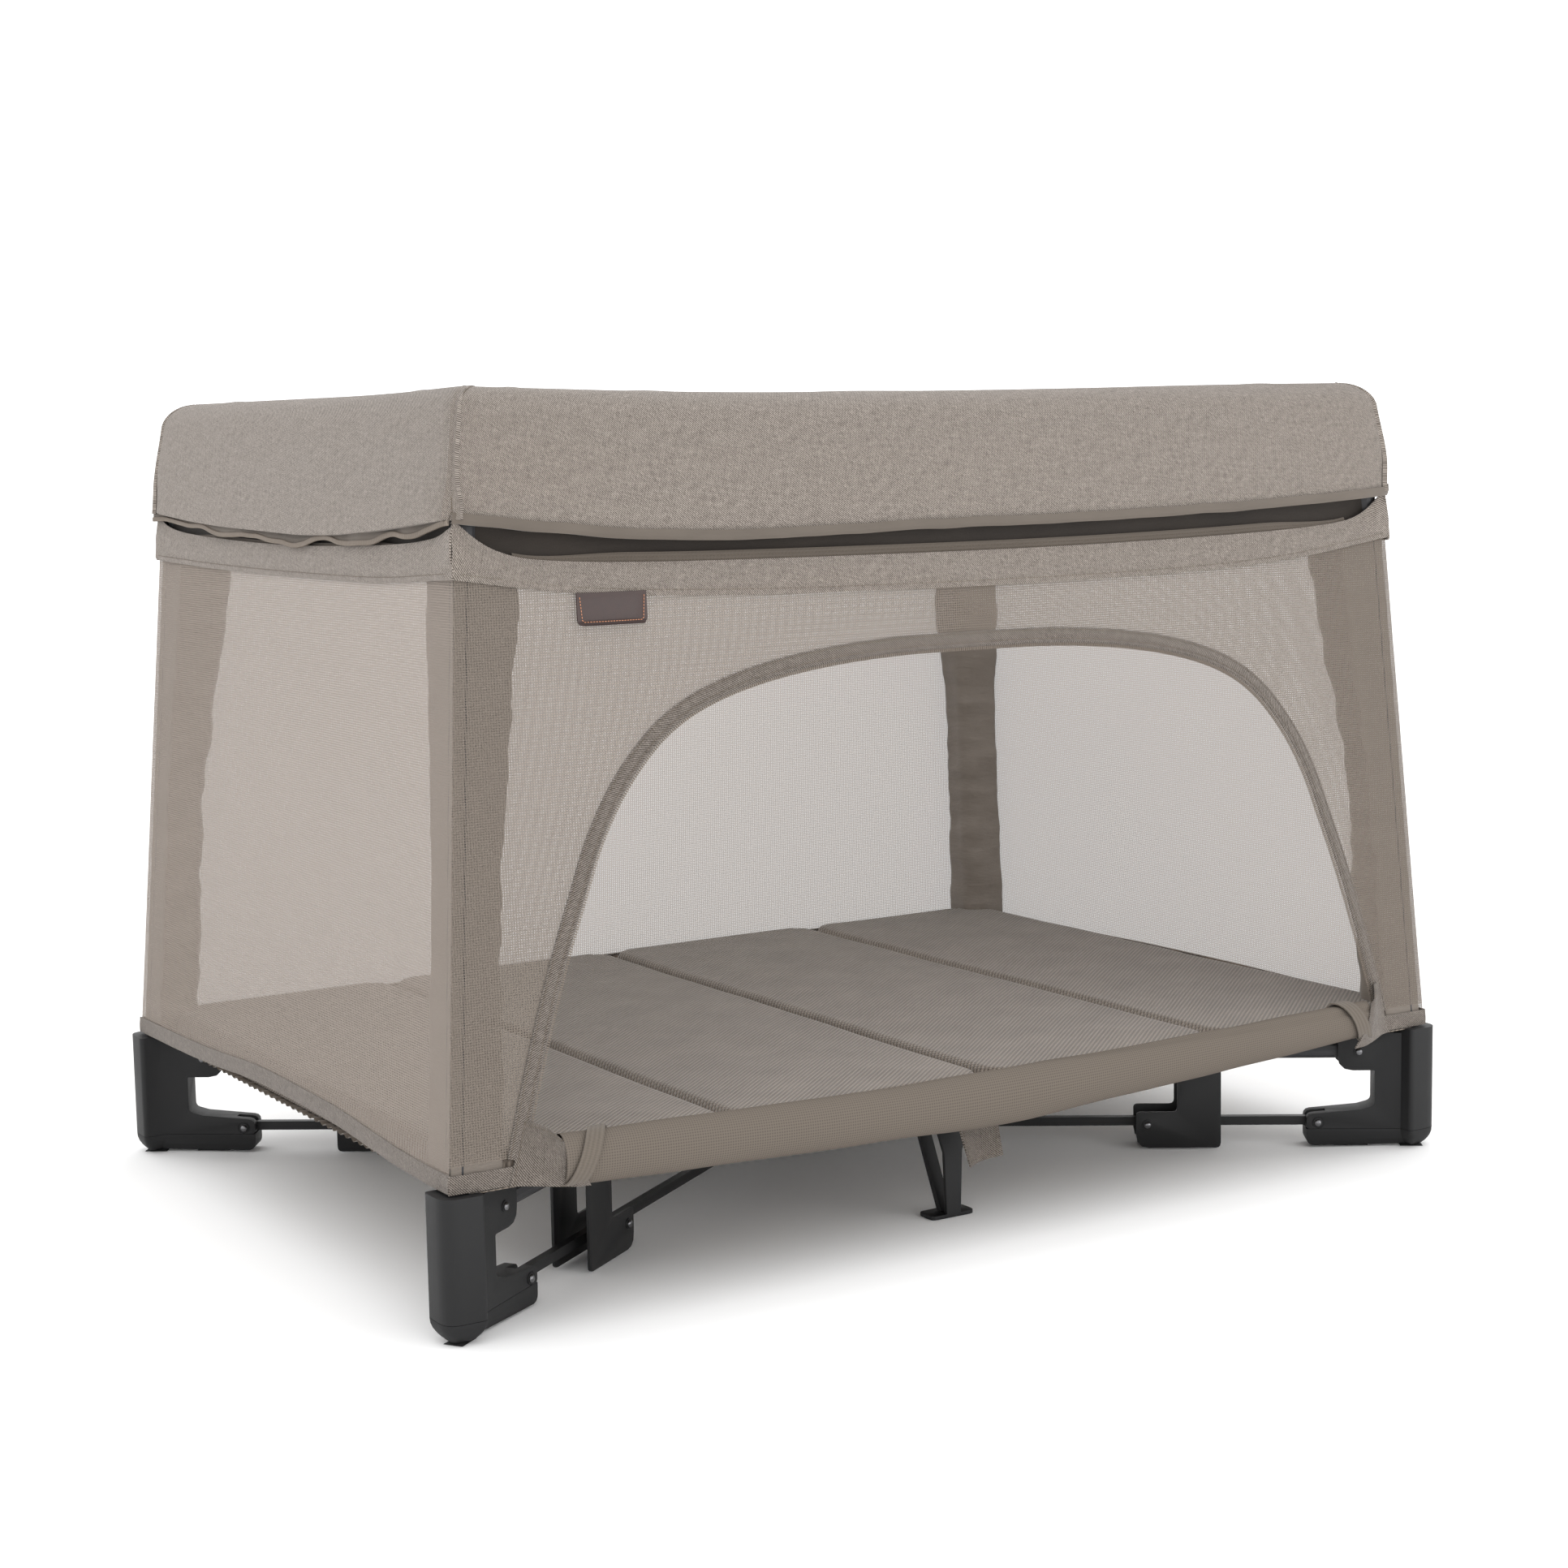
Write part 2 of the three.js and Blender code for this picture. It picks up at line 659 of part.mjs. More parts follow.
// ---------- rail latches ----------
const latchBody = (pinAt) =>
  join(
    cut(
      slab(
        [
          [pinAt - 8.4, LATCH_HALF_W, 2],
          [8.4 - pinAt, LATCH_HALF_W, 2],
          [8.4 - pinAt, -LATCH_HALF_W, 2],
          [pinAt - 8.4, -LATCH_HALF_W, 2],
        ],
        LATCH_BOTTOM,
        LATCH_TOP,
      ),
      box(
        -BUTTON_L / 2 - GAP,
        BUTTON_L / 2 + GAP,
        -BUTTON_W / 2 - GAP,
        BUTTON_W / 2 + GAP,
        LATCH_BOTTOM - 2,
        LATCH_BOTTOM + 8,
      ),
    ),
    ...[1, -1].map((s) =>
      join(...lugs(Math.max(pinAt - 9.5, 3), pinAt), lugPin(pinAt)).rotateZ(s > 0 ? 0 : Math.PI),
    ),
  );
const button = slab(
  [
    [BUTTON_L / 2, BUTTON_W / 2, 3],
    [-BUTTON_L / 2, BUTTON_W / 2, 3],
    [-BUTTON_L / 2, -BUTTON_W / 2, 3],
    [BUTTON_L / 2, -BUTTON_W / 2, 3],
  ],
  BUTTON_BOTTOM,
  LATCH_BOTTOM + 8 - BUTTON_TRAVEL - GAP,
);
for (const [c, x, y, turn, at] of [
  ["front", 0, -TY, 0, LATCH_X],
  ["back", 0, TY, 0, LATCH_X],
  ["left", -TX, 0, Math.PI / 2, LATCH_Y],
  ["right", TX, 0, Math.PI / 2, LATCH_Y],
]) {
  const side = new THREE.Group();
  side.position.set(x, y, 0);
  side.rotation.z = turn;
  playpen.add(side);
  add(side, `rail_latch_${c}`, latchBody(at), latchGrey);
  add(side, `latch_button_${c}`, button, buttonRed);
}

// ---------- walls ----------
// Each wall is drawn upright at the hem and sheared to its lean.
const shear = (g, sx, sy) =>
  g.applyMatrix4(
    new THREE.Matrix4().set(1, 0, sx, -sx * HEM_Z, 0, 1, sy, -sy * HEM_Z, 0, 0, 1, 0, 0, 0, 0, 1),
  );
const longWall = (s, door) => {
  const shape = new THREE.Shape([
    new THREE.Vector2(-wallX(HEM_Z), HEM_Z),
    new THREE.Vector2(wallX(HEM_Z), HEM_Z),
    new THREE.Vector2(wallX(WALL_TOP), WALL_TOP),
    new THREE.Vector2(-wallX(WALL_TOP), WALL_TOP),
  ]);
  if (door) {
    const hole = new THREE.Path();
    hole.moveTo(-DOOR[0][0], DOOR[0][1]);
    for (const [x, z] of DOOR.slice(1)) hole.lineTo(-x, z);
    for (const [x, z] of [...DOOR].reverse()) hole.lineTo(x, z);
    shape.holes.push(hole);
  }
  const y = wallY(HEM_Z);
  const g = plate(shape, s > 0 ? y - WALL_T : -y, s > 0 ? y : WALL_T - y);
  return shear(g, 0, -s * slopeY);
};
const shortWall = (s) => {
  const yAt = (z) => wallY(z) - WALL_T - GAP;
  const g = plate(
    new THREE.Shape([
      new THREE.Vector2(-yAt(HEM_Z), HEM_Z),
      new THREE.Vector2(yAt(HEM_Z), HEM_Z),
      new THREE.Vector2(yAt(WALL_TOP), WALL_TOP),
      new THREE.Vector2(-yAt(WALL_TOP), WALL_TOP),
    ]),
    0,
    WALL_T,
  )
    .rotateZ(Math.PI / 2)
    .translate(s > 0 ? wallX(HEM_Z) : -wallX(HEM_Z) + WALL_T, 0, 0);
  return shear(g, -s * slopeX, 0);
};
add(playpen, "wall_front", longWall(-1, true), mesh);
add(playpen, "wall_back", longWall(1, false), mesh);
add(playpen, "wall_left", shortWall(-1), mesh);
add(playpen, "wall_right", shortWall(1), mesh);

// ---------- padded cover over the top rails ----------
// Each ring is drawn at the top and tapered outward down the walls' lean.
const ring = (outX, outY, r, z0, z1) => {
  const g = slab(
    [
      [outX, outY, r],
      [-outX, outY, r],
      [-outX, -outY, r],
      [outX, -outY, r],
    ],
    z0,
    z1,
    5,
  );
  const p = g.attributes.position;
  for (let i = 0; i < p.count; i++) {
    const d = HEIGHT - p.getZ(i);
    p.setX(i, p.getX(i) * (1 + (slopeX * d) / outX));
    p.setY(i, p.getY(i) * (1 + (slopeY * d) / outY));
  }
  return g;
};
const outX = wallX(HEIGHT) + COVER_OUT;
const outY = wallY(HEIGHT) + COVER_OUT;
const inX = TX - COVER_IN;
const inY = TY - COVER_IN;
const straight = (x, y, r, z0, z1) =>
  slab(
    [
      [x, y, r],
      [-x, y, r],
      [-x, -y, r],
      [x, -y, r],
    ],
    z0,
    z1,
    5,
  );
add(
  playpen,
  "rail_cover",
  cut(
    ring(outX, outY, COVER_ROUND, COVER_BOTTOM, HEIGHT),
    straight(inX, inY, 6, COVER_BOTTOM - 10, HEIGHT + 10),
    straight(inX + COVER_T, inY + COVER_T, 6, COVER_BOTTOM - 10, COVER_IN_BOTTOM),
    cut(
      ring(
        outX - COVER_T,
        outY - COVER_T,
        COVER_INNER_ROUND,
        COVER_BOTTOM - 1,
        HEIGHT - COVER_T,
      ),
      straight(inX + COVER_T, inY + COVER_T, 6, COVER_BOTTOM - 10, HEIGHT + 10),
    ),
  ),
  twill,
);

// ---------- floor cloth, mattress, rolled door and label ----------
add(
  playpen,
  "floor_cloth",
  slab(
    [
      [MATTRESS_X, MATTRESS_Y, MATTRESS_ROUND],
      [-MATTRESS_X, MATTRESS_Y, MATTRESS_ROUND],
      [-MATTRESS_X, -MATTRESS_Y, MATTRESS_ROUND],
      [MATTRESS_X, -MATTRESS_Y, MATTRESS_ROUND],
    ],
    CLOTH_Z,
    CLOTH_Z + CLOTH_T,
    2,
  ),
  lining,
);
add(
  playpen,
  "mattress",
  cut(
    slab(
      [
        [MATTRESS_X, MATTRESS_Y, MATTRESS_ROUND],
        [-MATTRESS_X, MATTRESS_Y, MATTRESS_ROUND],
        [-MATTRESS_X, -MATTRESS_Y, MATTRESS_ROUND],
        [MATTRESS_X, -MATTRESS_Y, MATTRESS_ROUND],
      ],
      MATTRESS_TOP - MATTRESS_T,
      MATTRESS_TOP,
      2,
    ),
    [-FOLD_X, 0, FOLD_X].map((x) =>
      plate(
        [
          [x - 7, MATTRESS_TOP + 1],
          [x, MATTRESS_TOP - 12],
          [x + 7, MATTRESS_TOP + 1],
        ],
        -MATTRESS_Y - 5,
        MATTRESS_Y + 5,
      ),
    ),
  ),
  knit,
);
const rollPath = new THREE.CatmullRomCurve3([
  new THREE.Vector3(-ROLL_END, -ROLL_Y, ROLL_Z_END),
  new THREE.Vector3(-ROLL_END / 2, -ROLL_Y, (ROLL_Z_END + ROLL_Z_MID) / 2 - 2),
  new THREE.Vector3(0, -ROLL_Y, ROLL_Z_MID),
  new THREE.Vector3(ROLL_END / 2, -ROLL_Y, (ROLL_Z_END + ROLL_Z_MID) / 2 - 2),
  new THREE.Vector3(ROLL_END, -ROLL_Y, ROLL_Z_END),
]);
const rollSection = new THREE.Shape(
  [...Array(12).keys()].map((i) => {
    const a = (i / 12) * 2 * Math.PI;
    return new THREE.Vector2((ROLL_T / 2) * Math.cos(a), (ROLL_H / 2) * Math.sin(a));
  }),
);
add(
  playpen,
  "door_roll",
  new THREE.ExtrudeGeometry(rollSection, {
    steps: 12,
    bevelEnabled: false,
    extrudePath: rollPath,
  }),
  mesh,
);
const labelGeometry = plate(
  [
    [-LABEL_W / 2, LABEL_TOP],
    [-LABEL_W / 2 + 4, LABEL_TOP - LABEL_H, 6],
    [LABEL_W / 2 - 4, LABEL_TOP - LABEL_H, 6],
    [LABEL_W / 2, LABEL_TOP],
  ],
  -2.2,
  0,
).translate(LABEL_X, -wallY(LABEL_TOP - LABEL_H) - GAP - 0.2, 0);
add(playpen, "leather_label", labelGeometry, leather);

export default playpen;
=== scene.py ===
import math
import bpy
import numpy as np
from mathutils import Matrix, Vector, noise


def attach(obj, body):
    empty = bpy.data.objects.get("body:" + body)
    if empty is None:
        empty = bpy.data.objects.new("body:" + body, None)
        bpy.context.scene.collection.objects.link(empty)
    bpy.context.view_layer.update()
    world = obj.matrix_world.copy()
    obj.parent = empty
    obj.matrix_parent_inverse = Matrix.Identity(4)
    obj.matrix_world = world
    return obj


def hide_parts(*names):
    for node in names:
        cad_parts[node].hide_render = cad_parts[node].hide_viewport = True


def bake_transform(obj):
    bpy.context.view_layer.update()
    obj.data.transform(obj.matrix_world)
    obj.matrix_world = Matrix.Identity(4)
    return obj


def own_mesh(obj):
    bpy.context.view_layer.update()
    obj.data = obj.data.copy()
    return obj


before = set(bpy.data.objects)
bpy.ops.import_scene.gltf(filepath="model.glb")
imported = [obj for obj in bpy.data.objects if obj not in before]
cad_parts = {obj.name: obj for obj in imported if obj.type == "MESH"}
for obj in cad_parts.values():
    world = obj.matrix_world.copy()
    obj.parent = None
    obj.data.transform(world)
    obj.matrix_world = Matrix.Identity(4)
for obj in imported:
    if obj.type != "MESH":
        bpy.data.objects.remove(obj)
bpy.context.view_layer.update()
scene = bpy.context.scene
mm = 0.001

# the leaning cloth walls: half widths at the hem and how far they lean in going up
wallShape = {"hemX": 0.5394, "hemY": 0.3774, "hemZ": 0.1245, "leanX": 0.0692, "leanY": 0.0544}
corners = {"fl": (-1, -1), "fr": (1, -1), "bl": (-1, 1), "br": (1, 1)}
# each side's two half covers: the way it runs from the middle, its corner and its kind of rail
halves = {
    "front": [(-1, "fl", "long"), (1, "fr", "long")],
    "back": [(-1, "br", "long"), (1, "bl", "long")],
    "left": [(-1, "bl", "short"), (1, "fl", "short")],
    "right": [(-1, "fr", "short"), (1, "br", "short")],
}
# each side's cloth: the corner it hangs from, then, for a gather as the frame folds, which is not made, the
# way it would shorten, the point it would shorten towards and the share that would be left
gather = {
    "front": ("corner_fl", (1, 0, 0), (-0.5172, 0, 0.4), 0.363),
    "back": ("corner_bl", (1, 0, 0), (-0.5172, 0, 0.4), 0.363),
    "left": ("corner_fl", (0, 1, 0), (0, -0.3599, 0.4), 0.363),
    "right": ("corner_fr", (0, 1, 0), (0, -0.3599, 0.4), 0.363),
}


def wallX(z):
    return wallShape["hemX"] - wallShape["leanX"] * (z - wallShape["hemZ"])


def wallY(z):
    return wallShape["hemY"] - wallShape["leanY"] * (z - wallShape["hemZ"])


def halfWidth(side, z):
    return wallX(z) if side in ("front", "back") else wallY(z)


def onSide(side, s, z, out=0.0):
    # s runs to the right when the side is looked at from outside
    if side == "front":
        return (s, -wallY(z) - out, z)
    if side == "back":
        return (-s, wallY(z) + out, z)
    if side == "left":
        return (-wallX(z) - out, -s, z)
    return (wallX(z) + out, s, z)


def cutCorners(line):
    # each round replaces a corner by two points, a quarter of the way in from either side
    for _ in range(3):
        finer = [line[0]]
        for a, b in zip(line, line[1:]):
            for share in (0.25, 0.75):
                finer.append((a[0] * (1 - share) + b[0] * share, a[1] * (1 - share) + b[1] * share))
        line = finer + [line[-1]]
    return line


def softLine(*points):
    # a smooth height line along a few points, in millimetres
    line = cutCorners(points)
    xs, ys = [p[0] * mm for p in line], [p[1] * mm for p in line]
    return lambda s: float(np.interp(s, xs, ys))


def ripple(x, y, z, scale):
    return noise.noise(Vector((x / scale, y / scale, z / scale)))


def smooth(t):
    t = min(max(t, 0.0), 1.0)
    return t * t * (3 - 2 * t)


def deselect():
    if bpy.context.object and bpy.context.object.mode != "OBJECT":
        bpy.ops.object.mode_set(mode="OBJECT")
    bpy.ops.object.select_all(action="DESELECT")


def only(piece):
    deselect()
    piece.select_set(True)
    bpy.context.view_layer.objects.active = piece


def editAll(piece, operator, **settings):
    # one edit-mode operator on the whole of a piece
    only(piece)
    bpy.ops.object.mode_set(mode="EDIT")
    bpy.ops.mesh.select_all(action="SELECT")
    operator(**settings)
    bpy.ops.object.mode_set(mode="OBJECT")


def faceOut(piece):
    editAll(piece, bpy.ops.mesh.normals_make_consistent, inside=False)


def applyModifier(piece, kind, **settings):
    only(piece)
    modifier = piece.modifiers.new(kind.title(), kind)
    for key, value in settings.items():
        setattr(modifier, key, value)
    bpy.ops.object.modifier_apply(modifier=modifier.name)


def finishPiece(piece, name, material, angle=40):
    piece.name = name
    piece.data.name = name
    piece.data.materials.clear()
    piece.data.materials.append(material)
    only(piece)
    bpy.ops.object.shade_smooth_by_angle(angle=math.radians(angle))
    return piece


def cloth(name, cells, shapeAt, material, uv=(1, 1), thick=0, angle=60, weld=False):
    # a sheet of cloth: a grid whose points are moved to the shape, with its map in metres
    deselect()
    bpy.ops.mesh.primitive_grid_add(x_subdivisions=cells[0], y_subdivisions=cells[1], size=1, calc_uvs=True)
    piece = bpy.context.object
    mesh = piece.data
    flat = np.zeros(len(mesh.vertices) * 3)
    mesh.vertices.foreach_get("co", flat)
    placed = [shapeAt(x + 0.5, y + 0.5) for x, y in flat.reshape(-1, 3)[:, :2]]
    mesh.vertices.foreach_set("co", np.array(placed, dtype=float).ravel())
    layer = mesh.uv_layers[0]
    loops = np.zeros(len(mesh.loops) * 2)
    if uv in ("xz", "yz", "xy"):
        index = np.zeros(len(mesh.loops), int)
        mesh.loops.foreach_get("vertex_index", index)
        spots = np.array(placed)[index]
        loops = spots[:, [1 if uv == "yz" else 0, 1 if uv == "xy" else 2]].ravel()
    else:
        layer.data.foreach_get("uv", loops)
        loops = (loops.reshape(-1, 2) * np.array(uv)).ravel()
    layer.data.foreach_set("uv", loops)
    mesh.update()
    if weld:
        editAll(piece, bpy.ops.mesh.remove_doubles, threshold=0.00005)
    if thick:
        applyModifier(piece, "SOLIDIFY", thickness=thick, offset=-1, use_rim=True, use_even_offset=True)
    return finishPiece(piece, name, material, angle)


def strew(name, path, outward, pitch, size, material):
    # small equal bits, such as stitches or zip teeth, laid along a path
    deselect()
    bpy.ops.mesh.primitive_cube_add(size=1)
    bit = bpy.context.object
    editAll(bit, bpy.ops.transform.resize, value=size)
    editAll(bit, bpy.ops.mesh.bevel, offset=min(size) * 0.32, segments=1, affect="EDGES")
    corner = np.array([v.co[:] for v in bit.data.vertices])
    faces = [list(p.vertices) for p in bit.data.polygons]
    bpy.data.objects.remove(bit)
    points = np.array(path, dtype=float)
    steps = np.linalg.norm(np.diff(points, axis=0), axis=1)
    run = np.concatenate([[0], np.cumsum(steps)])
    count = max(2, int(run[-1] / pitch))
    allPoints, allFaces = [], []
    for i in range(count):
        at = (i + 0.5) / count * run[-1]
        k = min(int(np.searchsorted(run, at, side="right")) - 1, len(points) - 2)
        share = (at - run[k]) / max(steps[k], 1e-9)
        spot = points[k] * (1 - share) + points[k + 1] * share
        along = (points[k + 1] - points[k]) / max(steps[k], 1e-9)
        out = np.array(outward(spot) if callable(outward) else outward, dtype=float)
        out = out - along * out.dot(along)
        out /= np.linalg.norm(out)
        across = np.cross(out, along)
        base = len(allPoints)
        allPoints += list(spot + corner[:, :1] * along + corner[:, 1:2] * across + corner[:, 2:] * out)
        allFaces += [[base + v for v in f] for f in faces]
    mesh = bpy.data.meshes.new(name)
    mesh.from_pydata([tuple(p) for p in allPoints], [], allFaces)
    piece = bpy.data.objects.new(name, mesh)
    scene.collection.objects.link(piece)
    return finishPiece(piece, name, material, 60)


def merge(pieces, name):
    deselect()
    for piece in pieces:
        piece.select_set(True)
    bpy.context.view_layer.objects.active = pieces[0]
    bpy.ops.object.join()
    pieces[0].name = name
    pieces[0].data.name = name
    return pieces[0]


def inFront(path, gap):
    # the path of a row of stitches, a little in front of its cloth
    return [Vector(point) + Vector((0, -gap, 0)) for point in path]


def stitchRows(name, paths, outward, pitch, size):
    return merge([strew("row", path, outward, pitch, size, paints["thread"]) for path in paths], name)


def hang(piece, side):
    # cloth hung from its side's corner body, with a mesh of its own; it does not gather
    body, axis, anchor, keep = gather[side]
    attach(piece, body)
    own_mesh(piece)
    return piece


# shader values: arithmetic on them adds Math nodes
class Num:
    def __init__(self, paint, socket):
        self.paint, self.socket = paint, socket

    def join(self, operation, first, second=0.0):
        return self.paint.add("ShaderNodeMath", {"operation": operation}, [first, second])

    def __add__(self, other):
        return self.join("ADD", self, other)

    __radd__ = __add__

    def __sub__(self, other):
        return self.join("SUBTRACT", self, other)

    def __rsub__(self, other):
        return self.join("SUBTRACT", other, self)

    def __mul__(self, other):
        return self.join("MULTIPLY", self, other)

    __rmul__ = __mul__

    def __truediv__(self, other):
        return self.join("DIVIDE", self, other)

    def wave(self):
        return self.join("SINE", self * (2 * math.pi)) * 0.5 + 0.5

    def floor(self):
        return self.join("FLOOR", self)


class Paint:
    def __init__(self, name, roughness=0.8, metallic=0.0, sheen=0.0, specular=0.5, coat=0.0):
        self.material = bpy.data.materials.new(name)
        self.material.use_nodes = True
        self.tree = self.material.node_tree
        self.shader = self.tree.nodes["Principled BSDF"]
        for key, value in {
            "Roughness": roughness, "Metallic": metallic, "Sheen Weight": sheen,
            "Specular IOR Level": specular, "Coat Weight": coat
        }.items():
            self.shader.inputs[key].default_value = value

    def add(self, kind, settings=None, values=None, output=0):
        node = self.tree.nodes.new(kind)
        for key, value in (settings or {}).items():
            setattr(node, key, value)
        pairs = values.items() if isinstance(values, dict) else enumerate(values or [])
        for key, value in pairs:
            socket = node.inputs[key]
            if isinstance(value, Num):
                self.tree.links.new(value.socket, socket)
            else:
                socket.default_value = value
        return Num(self, node.outputs[output])

    def uv(self):
        return self.split(self.add("ShaderNodeUVMap", {"uv_map": "UVMap"}))

    def place(self):
        return self.add("ShaderNodeTexCoord", output=3)

    def split(self, vector):
        node = self.tree.nodes.new("ShaderNodeSeparateXYZ")
        self.tree.links.new(vector.socket, node.inputs[0])
        return [Num(self, out) for out in node.outputs]

    def bundle(self, x, y, z=0.0):
        return self.add("ShaderNodeCombineXYZ", None, [x, y, z])

    def speckle(self, vector, scale, detail=2.0, rough=0.5):
        return self.add(
            "ShaderNodeTexNoise", None,
            {"Vector": vector, "Scale": scale, "Detail": detail, "Roughness": rough}
        )

    def mix(self, share, first, second):
        return self.add("ShaderNodeMix", {"data_type": "RGBA"}, {0: share, 6: first, 7: second}, output=2)

    def send(self, value, socket):
        self.tree.links.new(value.socket, self.shader.inputs[socket])

    def relief(self, height, depth, strength=1.0):
        bump = self.add("ShaderNodeBump", None, {"Height": height, "Distance": depth, "Strength": strength})
        self.send(bump, "Normal")


def tone(r, g, b):
    # a colour given as it looks on screen, made linear
    def linear(c):
        c = c / 255
        return c / 12.92 if c < 0.04045 else ((c + 0.055) / 1.055) ** 2.4
    return (linear(r), linear(g), linear(b), 1)


def twillPaint(name, light, dark, rib, mottle=0.55):
    paint = Paint(name, roughness=0.9, sheen=0.15, specular=0.25)
    u, v, _ = paint.uv()
    slant = (u + v) / rib
    thread = (u - v) / rib
    ribs = slant.wave()
    cut = thread * 0.5
    stagger = (cut + (slant.floor() * 0.37)).wave()
    yarn = paint.speckle(paint.bundle(slant.floor(), (thread * 0.22)), 1.0, 1.0)
    melange = paint.speckle(paint.bundle(u, v), 760, 3.0, 0.8)
    broad = paint.speckle(paint.bundle(u, v), 60, 3.0, 0.6)
    share = ribs * 0.62 + stagger * 0.12 + (yarn - 0.5) * mottle
    share = share + (melange - 0.5) * 1.15 + (broad - 0.5) * 0.16
    paint.send(paint.mix(paint.add("ShaderNodeClamp", None, {0: share}), dark, light), "Base Color")
    paint.send(0.98 - ribs * 0.14, "Roughness")
    paint.relief(ribs + melange * 0.8 + stagger * 0.3, 0.00035, 0.8)
    return paint.material


def meshPaint(name, thread, dark, pitch, shut, open, closed=False):
    # square holes between soft threads: shut is how see-through the threads are,
    # open is how much more the holes are, and closed cloth is drawn solid, darker where a hole would be:
    # painted shade of the layers beneath
    paint = Paint(name, roughness=0.9, specular=0.1)
    u, v, _ = paint.uv()
    hole = (u / pitch[0]).wave() * (v / pitch[1]).wave()
    weave = paint.speckle(paint.bundle(u, v), 500, 2.0)
    # closed cloth: darker at the holes, painted shade
    shade = hole * 1.1 if closed else weave
    paint.send(paint.mix(paint.add("ShaderNodeClamp", None, {0: shade}), thread, dark), "Base Color")
    if not closed:
        paint.send(1 - shut - hole * open, "Alpha")
    else:
        paint.relief(hole * -1, 0.0001, 0.4)
    return paint.material


def satinPaint(name, light, dark, rough=0.55, crease=0.0006):
    paint = Paint(name, roughness=rough, sheen=0.2, specular=0.4)
    place = paint.place()
    u, v, w = paint.split(place)
    long = paint.speckle(paint.bundle(u * 14, v * 14, w * 46), 1.0, 4.0, 0.6)
    fine = paint.speckle(place, 1500, 1.0)
    # the same fold noise sets the colour: darker in the fold hollows and lighter on the ridges, painted
    # shade and painted highlight
    paint.send(paint.mix(long, dark, light), "Base Color")
    paint.send(rough + (fine - 0.5) * 0.2, "Roughness")
    paint.relief(long * 4 + fine * 0.25, crease, 0.7)
    return paint.material


def knitPaint(name, light, dark, rib):
    # slanting ribs with a small stitch along each
    paint = Paint(name, roughness=0.92, sheen=0.3, specular=0.2)
    u, v, _ = paint.uv()
    across = (v - u * 0.85) / (rib * 1.3)
    along = (u + v * 0.85) / rib
    ribs = across.wave()
    stitch = (along + across.floor() * 0.5).wave()
    broad = paint.speckle(paint.bundle(u, v), 18, 4.0, 0.6)
    fluff = paint.speckle(paint.bundle(u, v), 1400, 2.0)
    share = ribs * 0.55 + stitch * 0.25 + (broad - 0.5) * 0.5 + (fluff - 0.5) * 0.4
    paint.send(paint.mix(paint.add("ShaderNodeClamp", None, {0: share}), dark, light), "Base Color")
    paint.relief(ribs + stitch * 0.5 + fluff * 0.2, 0.0007, 0.9)
    return paint.material


def plasticPaint(name, colour, rough, grain=1800, depth=0.00012):
    paint = Paint(name, roughness=rough, specular=0.32)
    place = paint.place()
    fine = paint.speckle(place, grain, 2.0)
    broad = paint.speckle(place, 30, 3.0)
    lighter = tuple(c * 1.18 + 0.002 for c in colour[:3]) + (1,)
    paint.send(paint.mix(broad * 0.7 + fine * 0.3, colour, lighter), "Base Color")
    paint.send(rough + (broad - 0.5) * 0.14 + (fine - 0.5) * 0.1, "Roughness")
    paint.relief(fine, depth, 0.6)
    return paint.material


def leatherPaint(name, colour):
    paint = Paint(name, roughness=0.5, specular=0.5, coat=0.08)
    place = paint.place()
    cells = paint.add(
        "ShaderNodeTexVoronoi", {"feature": "DISTANCE_TO_EDGE"}, {"Vector": place, "Scale": 1100.0}
    )
    broad = paint.speckle(place, 140, 4.0)
    darker = tuple(c * 0.6 for c in colour[:3]) + (1,)
    paint.send(paint.mix(broad, darker, colour), "Base Color")
    paint.send(0.42 + broad * 0.2, "Roughness")
    paint.relief(cells * 2 + broad * 0.5, 0.0002, 0.7)
    return paint.material


def metalPaint(name, colour, rough):
    paint = Paint(name, roughness=rough, metallic=0.9)
    fine = paint.speckle(paint.place(), 900, 2.0)
    darker = tuple(c * 0.7 for c in colour[:3]) + (1,)
    paint.send(paint.mix(fine, darker, colour), "Base Color")
    paint.send(rough + (fine - 0.5) * 0.15, "Roughness")
    return paint.material


def webPaint(name, light, dark):
    paint = Paint(name, roughness=0.8, sheen=0.15, specular=0.3)
    u, v, _ = paint.uv()
    ribs = (u / 0.0011).wave()
    lanes = (v / 0.0044).wave()
    fluff = paint.speckle(paint.bundle(u, v), 900, 2.0)
    paint.send(paint.mix(ribs * 0.4 + lanes * 0.25 + fluff * 0.4, dark, light), "Base Color")
    paint.relief(ribs + lanes, 0.0003, 0.7)
    return paint.material


